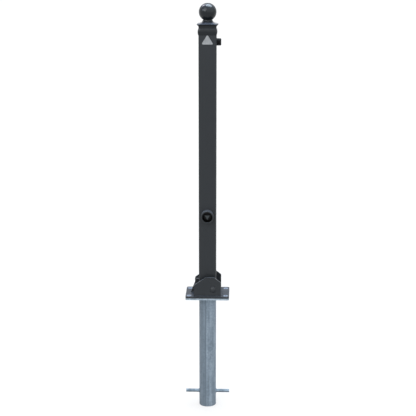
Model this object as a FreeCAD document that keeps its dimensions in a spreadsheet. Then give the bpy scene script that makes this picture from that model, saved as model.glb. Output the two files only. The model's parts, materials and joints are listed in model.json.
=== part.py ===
import FreeCAD, Part

import math
import os

import Sketcher

# Fold-down barrier post: a square post on a hinge bracket, over a ground tube that is cast in concrete.
# The origin is on the post's axis at the ground tube flange's underside, +Z up, +X to the side that the
# post folds to, and -Y to the front, where the lock is. All lengths are millimetres.

# Driving sizes: name, value and what it measures.
SIZES = (
    ("ground_tube_width", 60.3, "outer diameter of the ground tube"),
    ("ground_tube_wall", 3, "wall of the ground tube"),
    ("ground_tube_depth", 415, "reach of the ground tube below the flange"),
    ("anchor_bar_core", 10.4, "diameter of the anchor bar between its ribs"),
    ("anchor_bar_width", 12, "diameter of the anchor bar over its ribs"),
    ("anchor_bar_length", 156, "length of the anchor bar"),
    ("anchor_bar_rise", 50, "height of the anchor bar's axis above the ground tube's lower end"),
    ("anchor_rib_pitch", 6.5, "distance from rib to rib on the anchor bar"),
    ("anchor_rib_width", 1.8, "width of a rib of the anchor bar"),
    ("anchor_rib_lean", 22, "degrees that a rib leans from square across the bar"),
    ("plate_length", 153, "length of the flange and the hinge plate, along X"),
    ("plate_depth", 116, "depth of the flange and the hinge plate, along Y"),
    ("plate_corner", 7, "corner radius of the flange and the hinge plate"),
    ("flange_thickness", 6, "thickness of the ground tube's flange"),
    ("plate_thickness", 6, "thickness of the hinge plate"),
    ("screw_inset_long", 12.5, "distance of a flange screw from the plates' ends along X"),
    ("screw_inset_deep", 16.5, "distance of a flange screw from the plates' sides along Y"),
    ("screw_width", 8, "shank diameter of a flange screw"),
    ("screw_head_width", 16, "head diameter of a flange screw"),
    ("screw_key_width", 5, "width across the flats of a flange screw's socket"),
    ("screw_key_depth", 2.6, "depth of a flange screw's socket"),
    ("tool_reach", 1, "length that a boring tool stands out of a piece at each end"),
    ("end_bevel", 1, "bevel at the end of a bolt or a stud"),
    ("thread_slack", 0.05, "radial gap between a screw and its threaded or drilled hole"),
    ("post_width", 60, "side of the square post"),
    ("post_wall", 3, "wall of the square post"),
    ("post_corner", 4.5, "outer corner radius of the square post"),
    ("post_lift", 5, "gap between the hinge plate and the post's lower end"),
    ("post_top", 936, "height of the square tube's upper end"),
    ("foot_thickness", 6, "thickness of the foot plate in the post"),
    ("foot_margin", 0.1, "gap around a plate that is welded inside the post"),
    ("cheek_gap", 90, "distance between the inner faces of the cheeks"),
    ("cheek_thickness", 6, "thickness of a cheek"),
    ("cheek_reach", 47, "reach of a cheek to each side of the post's axis"),
    ("cheek_left_height", 40, "height of a cheek's left edge"),
    ("cheek_right_height", 50.5, "height of a cheek's right edge"),
    ("cheek_top_height", 68.5, "height of a cheek's flat top"),
    ("cheek_top_left", 6, "left end of the flat top, measured left of the post's axis"),
    ("cheek_top_right", 24, "right end of the flat top, measured right of the post's axis"),
    ("cheek_left_round", 10, "corner radius at a cheek's left shoulder"),
    ("cheek_top_round", 12, "corner radius at both ends of a cheek's top"),
    ("cheek_right_round", 6, "corner radius at a cheek's right shoulder"),
    ("rib_thickness", 8, "thickness of the stop rib"),
    ("rib_height", 50, "height of the stop rib above the hinge plate"),
    ("rib_foot_inset", 17, "distance of the stop rib's foot from the plate's left end"),
    ("rib_top_width", 10, "width of the stop rib's top"),
    ("rib_pad_height", 4, "height of the stop rib's face that the post leans on"),
    ("rib_relief", 5, "distance that the stop rib stands back below that face"),
    ("stop_gap", 0.3, "gap between the stop rib and the post"),
    ("pivot_offset", 20, "distance of the pivot from the post's axis"),
    ("pivot_height", 25, "height of the pivot above the hinge plate"),
    ("pivot_bolt_width", 10, "shank diameter of the pivot bolt"),
    ("pivot_head_width", 21, "head diameter of the pivot bolt"),
    ("pivot_head_height", 6, "height of the pivot bolt's domed head"),
    ("pivot_head_rim", 1.2, "height of the upright edge under that dome"),
    ("pivot_washer_width", 20, "outer diameter of the washer on the pivot bolt"),
    ("pivot_washer_thickness", 2, "thickness of the washer on the pivot bolt"),
    ("pivot_nut_width", 16, "width across the flats of the nut on the pivot bolt"),
    ("pivot_nut_height", 9.5, "height of the nut on the pivot bolt"),
    ("pivot_bolt_tail", 2.5, "length of the pivot bolt beyond its nut"),
    ("nut_face_share", 0.95, "width of a nut's round faces as a share of its width across the flats"),
    ("bush_width", 14, "outer diameter of the pivot bush"),
    ("spacer_width", 20, "outer diameter of a pivot spacer"),
    ("side_gap", 0.2, "gap between a pivot spacer and its cheek"),
    ("running_gap", 0.05, "radial running clearance of a shaft in its bush"),
    ("rod_width", 12, "diameter of the lock rod"),
    ("rod_tip_bevel", 2.5, "bevel at the lock rod's tip"),
    ("rod_setback", 1.5, "distance of the raised rod's tip inside the post's lower end"),
    ("rod_head_stand", 3, "length of the lock rod above its yoke"),
    ("rod_slack", 0.5, "radial gap between the lock rod and its hole in the hinge plate"),
    ("guide_thickness", 5, "thickness of the upper rod guide"),
    ("guide_drop", 30, "distance of the rod guide's top below the lock's axis"),
    ("lock_height", 297, "height of the lock's axis"),
    ("collar_width", 44, "outer diameter of the lock collar"),
    ("collar_wall", 4, "wall of the lock collar"),
    ("collar_stand", 19, "length of the lock collar in front of the post"),
    ("collar_inside", 1, "length of the lock collar behind the post's front wall"),
    ("collar_round", 1, "rounding of the lock collar's rim"),
    ("cup_wall", 1.5, "wall of the lining in the lock collar"),
    ("cup_floor", 5, "thickness of the lining's floor"),
    ("cup_setback", 2, "distance of the lining behind the collar's rim"),
    ("bearing_width", 16, "outer diameter of the spindle bearing"),
    ("bearing_rim_width", 21, "diameter of the spindle bearing's rim"),
    ("bearing_rim", 2, "thickness of the spindle bearing's rim"),
    ("stud_side", 20, "side of the three-sided key stud"),
    ("stud_setback", 8, "distance of the key stud's end behind the collar's rim"),
    ("stud_round", 0.8, "rounding of the key stud's three edges"),
    ("spindle_width", 12, "shaft diameter of the key spindle"),
    ("spindle_rim_width", 25, "diameter of the key spindle's shoulder"),
    ("spindle_rim", 1.5, "thickness of the key spindle's shoulder"),
    ("spindle_square", 8, "side of the square end of the key spindle"),
    ("face_gap", 0.1, "running gap between faces that turn past each other"),
    ("crank_gap", 0.2, "gap between the bearing's rim and the crank disc"),
    ("crank_width", 38, "diameter of the crank disc"),
    ("crank_thickness", 5, "thickness of the crank disc"),
    ("crank_radius", 14, "distance of the crank pin from the spindle's axis"),
    ("crank_start", 45, "degrees of the crank pin above level when the rod is raised"),
    ("crank_pin_width", 6, "diameter of the crank pin"),
    ("clip_width", 14, "outer diameter of the spindle clip"),
    ("clip_thickness", 1, "thickness of the spindle clip"),
    ("clip_mouth", 4.5, "width of the spindle clip's opening"),
    ("groove_width", 6.4, "diameter of the spindle's groove that the clip sits in"),
    ("spindle_tail", 1.2, "length of the spindle behind its clip"),
    ("yoke_gap", 1.6, "gap between the spindle's end and the yoke"),
    ("yoke_plate", 7, "thickness of the yoke's slotted plate"),
    ("yoke_half_height", 8.5, "half of the yoke's height"),
    ("yoke_left", 10, "reach of the yoke to the left of the rod's axis"),
    ("yoke_right", 21.5, "reach of the yoke to the right of the rod's axis"),
    ("yoke_back", 8.5, "reach of the yoke behind the rod's axis"),
    ("slot_slack", 0.6, "gap above and below the crank pin in the yoke's slot"),
    ("yoke_pin_width", 4, "diameter of the pin through yoke and rod"),
    ("buffer_drop", 44, "distance of the rubber buffer's axis below the square tube's upper end"),
    ("buffer_width", 25, "diameter of the rubber buffer"),
    ("buffer_length", 15.5, "length of the rubber buffer in front of the post's face"),
    ("buffer_round", 1.5, "rounding of the rubber buffer's end"),
    ("buffer_disc_width", 21, "diameter of the steel disc bonded in the buffer"),
    ("buffer_disc_thickness", 1.5, "thickness of the steel disc bonded in the buffer"),
    ("buffer_stud_width", 8, "diameter of the buffer's threaded stud"),
    ("buffer_stud_tail", 2.5, "length of the buffer's stud beyond its nut"),
    ("buffer_washer_width", 16, "outer diameter of the washer behind the buffer"),
    ("buffer_washer_thickness", 1.6, "thickness of the washer behind the buffer"),
    ("buffer_nut_width", 13, "width across the flats of the nut behind the buffer"),
    ("buffer_nut_height", 6.5, "height of the nut behind the buffer"),
    ("cap_socket", 20, "depth of the cap's socket over the tube"),
    ("cap_slack", 0.15, "gap between the cap's socket and the tube"),
    ("cap_lip", 0.8, "thickness of the cap at its lower edge"),
    ("bead_bulge", 2.7, "bulge of the cap's half-round bead beyond the tube"),
    ("bead_height", 22, "height of the cap's half-round bead"),
    ("throat_height", 2, "height of the plain band above the bead"),
    ("cornice_bulge", 5.5, "overhang of the cap's cornice beyond the tube"),
    ("cove_height", 9, "height of the hollow moulding under the cornice"),
    ("cove_way_high", 6.3, "height of the hollow moulding's middle above its foot"),
    ("cove_way_out", 1.4, "distance of that middle in front of the tube's face"),
    ("cornice_height", 3, "height of the cornice's upright edge"),
    ("cap_core_depth", 8, "depth of the hollow inside the cap above its socket"),
    ("cap_shell", 5, "wall of the cap around that hollow"),
    ("cap_overlap", 1, "overlap of the cap's middle with its mouldings"),
    ("roof_low_half", 28.5, "half width of the cap's roof at its first step"),
    ("roof_low_rise", 2.5, "height of that step above the cornice"),
    ("roof_low_round", 12, "corner radius of that step"),
    ("roof_mid_half", 20, "half width of the cap's roof at its second step"),
    ("roof_mid_rise", 6, "height of that step above the cornice"),
    ("roof_mid_round", 14, "corner radius of that step"),
    ("roof_top_half", 17.5, "half width of the cap's roof at the neck"),
    ("roof_top_round", 17.2, "corner radius of the roof at the neck"),
    ("roof_rise", 9.5, "height of the neck's foot above the cornice"),
    ("neck_slope", 4, "height of the neck between the roof and the ball"),
    ("neck_half", 15.5, "radius of the cap's neck where it meets the ball"),
    ("ball_radius", 29.7, "radius of the ball"),
)

doc = FreeCAD.newDocument("barrier_post")
sheet = doc.addObject("Spreadsheet::Sheet", "sizes")
for row, (alias, value, meaning) in enumerate(SIZES, start=1):
    sheet.set(f"A{row}", meaning)
    sheet.set(f"B{row}", str(value))
    sheet.setAlias(f"B{row}", alias)
doc.recompute()


class Length:
    """A length that knows its number and the spreadsheet expression that gives it."""

    def __init__(self, number, text):
        self.number = number
        self.text = text

    def __add__(self, other):
        other = as_length(other)
        return Length(self.number + other.number, f"({self.text} + {other.text})")

    def __sub__(self, other):
        other = as_length(other)
        return Length(self.number - other.number, f"({self.text} - {other.text})")

    def __mul__(self, other):
        other = as_length(other)
        return Length(self.number * other.number, f"({self.text} * {other.text})")

    def __truediv__(self, other):
        other = as_length(other)
        return Length(self.number / other.number, f"({self.text} / {other.text})")

    def __neg__(self):
        return Length(-self.number, f"(0 - {self.text})")


def as_length(value):
    """Gives a plain number the form of a Length."""
    return value if isinstance(value, Length) else Length(value, repr(value))


def size(alias):
    """The spreadsheet's size of that name."""
    return Length(float(sheet.get(alias)), f"{sheet.Name}.{alias}")


def sine(degrees):
    return Length(math.sin(math.radians(degrees.number)), f"sin({degrees.text} * 1deg)")


def cosine(degrees):
    return Length(math.cos(math.radians(degrees.number)), f"cos({degrees.text} * 1deg)")


ZERO = Length(0.0, "0")
BALL = "ball"
# Places nearer to each other than this are the same place.
CLOSE = 1e-4
# A countersink's side slopes at this many degrees, so its depth is half of what its width gains.
SINK_SLOPE = 45
ROOT_THREE = Length(math.sqrt(3), "sqrt(3)")

# Levels above the flange's underside, and places that several pieces share.
PLATE_TOP = size("flange_thickness") + size("plate_thickness")
SCREW_ACROSS = size("plate_length") / 2 - size("screw_inset_long")
SCREW_DEEP = size("plate_depth") / 2 - size("screw_inset_deep")
POST_FOOT = PLATE_TOP + size("post_lift")
POST_HALF = size("post_width") / 2
POST_INSIDE = POST_HALF - size("post_wall")
PIVOT_LEVEL = PLATE_TOP + size("pivot_height")
CHEEK_INNER = size("cheek_gap") / 2
CHEEK_OUTER = CHEEK_INNER + size("cheek_thickness")
CAP_FOOT = size("post_top") - size("cap_socket")
BUFFER_LEVEL = size("post_top") - size("buffer_drop")
ANCHOR_LEVEL = size("anchor_bar_rise") - size("ground_tube_depth")
BEAD_TOP = CAP_FOOT + size("bead_height")
THROAT_TOP = BEAD_TOP + size("throat_height")
CORNICE_FOOT = THROAT_TOP + size("cove_height")
CORNICE_TOP = CORNICE_FOOT + size("cornice_height")
NECK_FOOT = CORNICE_TOP + size("roof_rise")
LOCK_LEVEL = size("lock_height")

# Places along the lock, from the collar's rim in front to the rod's axis behind; the front is negative.
RIM = -(POST_HALF + size("collar_stand"))
COLLAR_BACK = -(POST_INSIDE - size("collar_inside"))
CUP_FLOOR = COLLAR_BACK - size("cup_floor")
BEARING_BACK = COLLAR_BACK + size("bearing_rim")
SHOULDER_BACK = CUP_FLOOR - size("face_gap")
SHOULDER_FRONT = SHOULDER_BACK - size("spindle_rim")
STUD_END = RIM + size("stud_setback")
CRANK_FRONT = BEARING_BACK + size("crank_gap")
CRANK_BACK = CRANK_FRONT + size("crank_thickness")
CLIP_BACK = CRANK_BACK + size("clip_thickness")
SPINDLE_END = CLIP_BACK + size("spindle_tail")
YOKE_FRONT = SPINDLE_END + size("yoke_gap")
YOKE_STEP = YOKE_FRONT + size("yoke_plate")
CRANK_SIDE = size("crank_radius") * cosine(size("crank_start"))
CRANK_RISE = size("crank_radius") * sine(size("crank_start"))
YOKE_LEVEL = LOCK_LEVEL + CRANK_RISE


def bind(thing, **lengths):
    """Ties properties of a document object to the spreadsheet."""
    for name, length in lengths.items():
        thing.setExpression(name, as_length(length).text)


def place(thing, across=ZERO, deep=ZERO, high=ZERO, axis=(0, 0, 1), degrees=0):
    """Puts an object at across, deep, high (X, Y, Z), turned by degrees about an axis through its origin."""
    base = FreeCAD.Vector(across.number, deep.number, high.number)
    thing.Placement = FreeCAD.Placement(base, FreeCAD.Rotation(FreeCAD.Vector(*axis), degrees))
    for letter, length in (("x", across), ("y", deep), ("z", high)):
        thing.setExpression(f".Placement.Base.{letter}", length.text)


def new_body(label):
    """A part design body with the label of its sub-part."""
    body = doc.addObject("PartDesign::Body", label)
    body.Label = label
    return body


def new_sketch(body, name, role, lift=ZERO):
    """A sketch on one of the body's own origin planes, lifted off it by a length."""
    sketch = body.newObject("Sketcher::SketchObject", name)
    plane = next(f for f in body.Origin.OriginFeatures if f.Role == role)
    sketch.AttachmentSupport = [(plane, "")]
    sketch.MapMode = "FlatFace"
    if lift is not ZERO:
        sketch.setExpression(".AttachmentOffset.Base.z", lift.text)
    return sketch


def fix_point(sketch, geometry, end, across, high):
    """Holds one point of a sketch at two lengths from the sketch's origin."""
    for kind, length, axis in (("DistanceX", across, -2), ("DistanceY", high, -1)):
        if length is ZERO:
            sketch.addConstraint(Sketcher.Constraint("PointOnObject", geometry, end, axis))
            continue
        index = sketch.addConstraint(Sketcher.Constraint(kind, -1, 1, geometry, end, length.number))
        sketch.setExpression(f"Constraints[{index}]", length.text)


def ball_way(start, finish):
    """The middle of the arc between two places whose centre is on the upright axis."""
    rise = (finish.y - start.y) * 2
    centre = FreeCAD.Vector(0, (finish.x**2 - start.x**2 + finish.y**2 - start.y**2) / rise, 0)
    outward = (start + finish) * 0.5 - centre
    return centre + outward.normalize() * centre.distanceToPoint(start)


def draw_outline(sketch, corners):
    """A closed outline through corners (across, high). A third entry makes the edge from the corner
    before an arc: (across, high) of a point on its way, or BALL for a centre on the upright axis."""
    spots = [FreeCAD.Vector(c[0].number, c[1].number, 0) for c in corners]
    edges = []
    for index, corner in enumerate(corners):
        start, finish = spots[index - 1], spots[index]
        if len(corner) == 3:
            way = corner[2]
            if way is BALL:
                through = ball_way(start, finish)
            else:
                through = FreeCAD.Vector(way[0].number, way[1].number, 0)
            clockwise = (through - start).cross(finish - start).z < 0
            first, last = (finish, start) if clockwise else (start, finish)
            edge = sketch.addGeometry(Part.Arc(first, through, last), False)
            if way is BALL:
                sketch.addConstraint(Sketcher.Constraint("PointOnObject", edge, 3, -2))
            else:
                mark = sketch.addGeometry(Part.Point(through), True)
                fix_point(sketch, mark, 1, *way)
                sketch.addConstraint(Sketcher.Constraint("PointOnObject", mark, 1, edge))
            edges.append((edge, 2, 1) if clockwise else (edge, 1, 2))
        else:
            edge = sketch.addGeometry(Part.LineSegment(start, finish), False)
            edges.append((edge, 1, 2))
    for index, (edge, first, last) in enumerate(edges):
        before, _, before_last = edges[index - 1]
        sketch.addConstraint(Sketcher.Constraint("Coincident", before, before_last, edge, first))
        fix_point(sketch, edge, last, corners[index][0], corners[index][1])


def draw_circle(sketch, width, across=ZERO, high=ZERO):
    """A circle of that diameter about a point of the sketch."""
    centre = FreeCAD.Vector(across.number, high.number, 0)
    circle = sketch.addGeometry(Part.Circle(centre, FreeCAD.Vector(0, 0, 1), width.number / 2), False)
    fix_point(sketch, circle, 3, across, high)
    index = sketch.addConstraint(Sketcher.Constraint("Radius", circle, width.number / 2))
    sketch.setExpression(f"Constraints[{index}]", (width / 2).text)


def draw_rounded_box(sketch, half_across, half_deep, radius):
    """A rectangle about the sketch's origin with four equal round corners."""
    inner_x, inner_y = half_across - radius, half_deep - radius
    arcs, lines = [], []
    up = FreeCAD.Vector(0, 0, 1)
    quarters = ((1, 1), (-1, 1), (-1, -1), (1, -1))
    for turn, (side_x, side_y) in enumerate(quarters):
        centre = FreeCAD.Vector(side_x * inner_x.number, side_y * inner_y.number, 0)
        circle = Part.Circle(centre, up, radius.number)
        begin = turn * math.pi / 2
        arcs.append(sketch.addGeometry(Part.ArcOfCircle(circle, begin, begin + math.pi / 2), False))
    for turn in range(4):
        start = sketch.Geometry[arcs[turn]].EndPoint
        finish = sketch.Geometry[arcs[(turn + 1) % 4]].StartPoint
        lines.append(sketch.addGeometry(Part.LineSegment(start, finish), False))
    for turn in range(4):
        following = (turn + 1) % 4
        sketch.addConstraint(Sketcher.Constraint("Tangent", arcs[turn], 2, lines[turn], 1))
        sketch.addConstraint(Sketcher.Constraint("Tangent", lines[turn], 2, arcs[following], 1))
        level = "Horizontal" if turn % 2 == 0 else "Vertical"
        sketch.addConstraint(Sketcher.Constraint(level, lines[turn]))
    for turn in (1, 2, 3):
        sketch.addConstraint(Sketcher.Constraint("Equal", arcs[0], arcs[turn]))
    sketch.addConstraint(Sketcher.Constraint("Symmetric", arcs[0], 3, arcs[2], 3, -1, 1))
    index = sketch.addConstraint(Sketcher.Constraint("Radius", arcs[0], radius.number))
    sketch.setExpression(f"Constraints[{index}]", radius.text)
    spans = (("DistanceX", arcs[1], arcs[0], inner_x * 2), ("DistanceY", arcs[3], arcs[0], inner_y * 2))
    for kind, first, second, span in spans:
        index = sketch.addConstraint(Sketcher.Constraint(kind, first, 3, second, 3, span.number))
        sketch.setExpression(f"Constraints[{index}]", span.text)


def pad(body, sketch, length, name="pad", middle=False, downwards=False):
    """Raises a sketch off its plane, to both sides alike if it is a middle plane."""
    feature = body.newObject("PartDesign::Pad", name)
    feature.Profile = sketch
    feature.SideType = "Symmetric" if middle else "One side"
    feature.Reversed = downwards
    bind(feature, Length=length)
    doc.recompute()
    return feature


def pocket(body, sketch, name, length=None, middle=False, backwards=False):
    """Cuts a sketch into the body, right through where no length is given."""
    before = body.Tip.Shape.Volume
    feature = body.newObject("PartDesign::Pocket", name)
    feature.Profile = sketch
    feature.SideType = "Symmetric" if middle else "One side"
    feature.Reversed = backwards
    if length is None:
        feature.Type = "ThroughAll"
    else:
        bind(feature, Length=length)
    doc.recompute()
    if feature.Shape.isNull() or feature.Shape.Volume >= before:
        raise RuntimeError(f"{name} cuts nothing from {body.Label}")
    return feature


def turn_profile(body, sketch, name="turning"):
    """Spins a sketch about its upright axis."""
    feature = body.newObject("PartDesign::Revolution", name)
    feature.Profile = sketch
    feature.ReferenceAxis = (sketch, ["V_Axis"])
    feature.Angle = 360
    doc.recompute()
    return feature


def lathe(label, corners):
    """A turned body from its half section, corners given as radius and height."""
    body = new_body(label)
    sketch = new_sketch(body, label + "_section", "XZ_Plane")
    draw_outline(sketch, corners)
    turn_profile(body, sketch, label + "_turning")
    return body


def round_edges(body, radius, wanted, name):
    """Rounds the edges of the body's last feature that a test picks out."""
    base = body.Tip
    names = [f"Edge{n}" for n, edge in enumerate(base.Shape.Edges, start=1) if wanted(edge)]
    if not names:
        raise RuntimeError(f"{name} finds no edge on {body.Label}")
    feature = body.newObject("PartDesign::Fillet", name)
    feature.Base = (base, names)
    bind(feature, Radius=radius)
    doc.recompute()
    return feature


def runs_through(*spots):
    """A test for straight edges along the depth (Y) that cross the given places (across, high)."""

    def wanted(edge):
        first, last = edge.Vertexes[0].Point, edge.Vertexes[-1].Point
        if abs(first.x - last.x) > CLOSE or abs(first.z - last.z) > CLOSE:
            return False
        return any(math.hypot(first.x - x.number, first.z - z.number) < CLOSE for x, z in spots)

    return wanted


def circle_at(high, radius):
    """A test for round edges of that radius at that height of an upright body."""

    def wanted(edge):
        curve = edge.Curve
        if not isinstance(curve, Part.Circle):
            return False
        return abs(curve.Center.z - high.number) < CLOSE and abs(curve.Radius - radius.number) < CLOSE

    return wanted


def cylinder(name, width, height):
    """An upright cylinder of that diameter and height."""
    thing = doc.addObject("Part::Cylinder", name)
    bind(thing, Radius=width / 2, Height=height)
    return thing


def hexagon(name, flats, height):
    """An upright six-sided prism with that width across its flats."""
    thing = doc.addObject("Part::Prism", name)
    thing.Polygon = 6
    bind(thing, Circumradius=flats / ROOT_THREE, Height=height)
    return thing


def cut(label, base, tool):
    """What is left of a base when a tool is taken out of it."""
    thing = doc.addObject("Part::Cut", label)
    thing.Base = base
    thing.Tool = tool
    thing.Label = label
    return thing


def mirrored(name, source, normal):
    """A copy of a piece on the other side of a plane through the origin."""
    thing = doc.addObject("Part::Mirroring", name)
    thing.Source = source
    thing.Normal = FreeCAD.Vector(*normal)
    return thing


def gather(label, pieces):
    """Several separate solids kept as one sub-part."""
    thing = doc.addObject("Part::Compound", label)
    thing.Links = pieces
    thing.Label = label
    return thing


def boring(name, width, height):
    """A cylinder to bore a piece of that height with, standing out of it at both ends."""
    tool = cylinder(name, width, height + size("tool_reach") * 2)
    place(tool, high=-size("tool_reach"))
    return tool


def ring(label, outer, inner, height):
    """A washer or a plain bush standing on its end."""
    return cut(label, cylinder(label + "_round", outer, height), boring(label + "_bore", inner, height))


def make_nut(label, flats, thread, height):
    """A nut: a hexagon with both ends turned down at 30 degrees to a round face, and its hole."""
    face = flats * size("nut_face_share") / 2
    wide = flats / ROOT_THREE + size("tool_reach")
    drop = (wide - face) / ROOT_THREE
    turned = lathe(label + "_turned", (
        (ZERO, ZERO), (face, ZERO), (wide, drop), (wide, height - drop), (face, height), (ZERO, height),
    ))
    blank = doc.addObject("Part::MultiCommon", label + "_blank")
    blank.Shapes = [hexagon(label + "_hexagon", flats, height), turned]
    return cut(label, blank, boring(label + "_hole", thread + size("thread_slack") * 2, height))


def make_ground_tube():
    """The round tube, drilled across for the anchor bar and cut flush with the flange's top."""
    body = new_body("ground_tube")
    sketch = new_sketch(body, "ground_tube_section", "XY_Plane", -size("ground_tube_depth"))
    draw_circle(sketch, size("ground_tube_width"))
    draw_circle(sketch, size("ground_tube_width") - size("ground_tube_wall") * 2)
    pad(body, sketch, size("ground_tube_depth") + size("flange_thickness"))
    across = new_sketch(body, "anchor_holes", "YZ_Plane")
    draw_circle(across, size("anchor_bar_width") + size("thread_slack") * 2, ZERO, ANCHOR_LEVEL)
    pocket(body, across, "anchor_drilling", size("ground_tube_width") * 2, middle=True)
    return body


def make_anchor_bar():
    """A ribbed bar: a round core, two lengthwise ribs and rows of leaning ribs all along it."""
    core = cylinder("anchor_core", size("anchor_bar_core"), size("anchor_bar_length"))
    sleeve = cylinder("anchor_over_ribs", size("anchor_bar_width"), size("anchor_bar_length"))
    blanks = []
    pitch = size("anchor_rib_pitch").number
    half = size("anchor_bar_length").number / 2
    rows = int((half - pitch / 2) // pitch)
    for row in range(-rows, rows + 1):
        blank = doc.addObject("Part::Box", f"anchor_rib_{row + rows + 1}")
        room = size("anchor_bar_width") * 2
        bind(blank, Length=room, Width=room, Height=size("anchor_rib_width"))
        lean = size("anchor_rib_lean").number * (1 if row % 2 else -1)
        blank.Placement = FreeCAD.Placement(
            FreeCAD.Vector(-room.number / 2, -room.number / 2, half + row * pitch),
            FreeCAD.Rotation(FreeCAD.Vector(1, 0, 0), lean),
            FreeCAD.Vector(room.number / 2, room.number / 2, size("anchor_rib_width").number / 2),
        )
        blanks.append(blank)
    fin = doc.addObject("Part::Box", "anchor_fin")
    bind(fin, Length=size("anchor_bar_width") * 2, Width=size("anchor_rib_width"),
         Height=size("anchor_bar_length"))
    place(fin, -size("anchor_bar_width"), -(size("anchor_rib_width") / 2))
    blanks.append(fin)
    ribs = doc.addObject("Part::MultiFuse", "anchor_rib_blanks")
    ribs.Shapes = blanks
    trimmed = doc.addObject("Part::MultiCommon", "anchor_ribs")
    trimmed.Shapes = [ribs, sleeve]
    bar = doc.addObject("Part::MultiFuse", "anchor_bar")
    bar.Shapes = [core, trimmed]
    bar.Label = "anchor_bar"
    place(bar, -(size("anchor_bar_length") / 2), ZERO, ANCHOR_LEVEL, (0, 1, 0), 90)
    return bar


def make_plate(label, lift, thickness):
    """A plate with the outline that the flange and the hinge plate share."""
    body = new_body(label)
    sketch = new_sketch(body, label + "_outline", "XY_Plane", lift)
    draw_rounded_box(sketch, size("plate_length") / 2, size("plate_depth") / 2, size("plate_corner"))
    pad(body, sketch, thickness, label + "_pad")
    return body


def screw_places():
    """The four places of the flange screws as across and deep."""
    return (
        (SCREW_ACROSS, SCREW_DEEP),
        (-SCREW_ACROSS, SCREW_DEEP),
        (-SCREW_ACROSS, -SCREW_DEEP),
        (SCREW_ACROSS, -SCREW_DEEP),
    )


def make_tube_flange():
    """The galvanised flange, with the tube's hole and four threaded holes."""
    body = make_plate("tube_flange", ZERO, size("flange_thickness"))
    middle = new_sketch(body, "tube_hole", "XY_Plane")
    draw_circle(middle, size("ground_tube_width"))
    pocket(body, middle, "tube_bore", backwards=True)
    holes = new_sketch(body, "threaded_holes", "XY_Plane")
    for across, deep in screw_places():
        draw_circle(holes, size("screw_width") + size("thread_slack") * 2, across, deep)
    pocket(body, holes, "threads", backwards=True)
    return body


def make_hinge_plate():
    """The painted plate, with countersunk screw holes and the hole that the lock rod drops into."""
    body = make_plate("hinge_plate", size("flange_thickness"), size("plate_thickness"))
    middle = new_sketch(body, "rod_hole", "XY_Plane")
    draw_circle(middle, size("rod_width") + size("rod_slack") * 2)
    pocket(body, middle, "rod_socket", backwards=True)
    sink_depth = (size("screw_head_width") - size("screw_width")) / 2
    for number, (across, deep) in enumerate(screw_places(), start=1):
        hole = new_sketch(body, f"screw_hole_{number}", "XY_Plane", PLATE_TOP)
        draw_circle(hole, size("screw_head_width") + size("thread_slack") * 2, across, deep)
        sunk = body.newObject("PartDesign::Pocket", f"countersink_{number}")
        sunk.Profile = hole
        sunk.TaperAngle = -SINK_SLOPE
        bind(sunk, Length=sink_depth)
        doc.recompute()
    shafts = new_sketch(body, "screw_shafts", "XY_Plane")
    for across, deep in screw_places():
        draw_circle(shafts, size("screw_width") + size("thread_slack") * 2, across, deep)
    pocket(body, shafts, "screw_clearance", backwards=True)
    return body


def make_flange_screws():
    """Four countersunk screws with six-sided sockets, flush with the plate above and the flange below."""
    length = size("flange_thickness") + size("plate_thickness")
    shaft_radius, head_radius = size("screw_width") / 2, size("screw_head_width") / 2
    sink = length - (head_radius - shaft_radius)
    screw = lathe("flange_screw", (
        (ZERO, ZERO),
        (shaft_radius, ZERO),
        (shaft_radius, sink),
        (head_radius, length),
        (ZERO, length),
    ))
    key = hexagon("screw_key", size("screw_key_width"), size("screw_key_depth"))
    place(key, high=length - size("screw_key_depth"))
    single = cut("flange_screw_cut", screw, key)
    place(single, SCREW_ACROSS, SCREW_DEEP)
    pair = gather("screw_pair", [single, mirrored("left_screw", single, (1, 0, 0))])
    return gather("flange_screws", [pair, mirrored("front_screws", pair, (0, 1, 0))])


def make_cheek(label, back):
    """An upright cheek with a slanted left shoulder, drilled for the pivot bolt. Its rear face is at back."""
    body = new_body(label)
    reach = size("cheek_reach")
    low, top = size("cheek_left_height"), size("cheek_top_height")
    top_left, top_right = -size("cheek_top_left"), size("cheek_top_right")
    high = size("cheek_right_height")
    sketch = new_sketch(body, label + "_outline", "XZ_Plane")
    draw_outline(sketch, (
        (-reach, ZERO), (reach, ZERO), (reach, high), (top_right, top), (top_left, top), (-reach, low),
    ))
    pad(body, sketch, size("cheek_thickness"), label + "_pad")
    round_edges(body, size("cheek_left_round"), runs_through((-reach, low)), label + "_left_shoulder")
    round_edges(body, size("cheek_top_round"), runs_through((top_left, top), (top_right, top)),
                label + "_top")
    round_edges(body, size("cheek_right_round"), runs_through((reach, high)), label + "_right_shoulder")
    hole = new_sketch(body, label + "_pivot_hole", "XZ_Plane")
    draw_circle(hole, size("pivot_bolt_width") + size("thread_slack") * 2, size("pivot_offset"),
                size("pivot_height"))
    pocket(body, hole, label + "_drilling", size("cheek_thickness") * 4, middle=True)
    place(body, deep=back, high=PLATE_TOP)
    return body


def make_stop_rib():
    """The slanted rib that the raised post leans on, set back below so that the post's foot swings past."""
    body = new_body("stop_rib")
    sketch = new_sketch(body, "stop_rib_outline", "XZ_Plane")
    face = -(POST_HALF + size("stop_gap"))
    back = face - size("rib_relief")
    top = size("rib_height")
    pad_foot = top - size("rib_pad_height")
    draw_outline(sketch, (
        (size("rib_foot_inset") - size("plate_length") / 2, ZERO),
        (back, ZERO),
        (back, pad_foot - size("rib_relief")),
        (face, pad_foot),
        (face, top),
        (face - size("rib_top_width"), top),
    ))
    pad(body, sketch, size("rib_thickness"), "stop_rib_pad", middle=True)
    place(body, high=PLATE_TOP)
    return body


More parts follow.
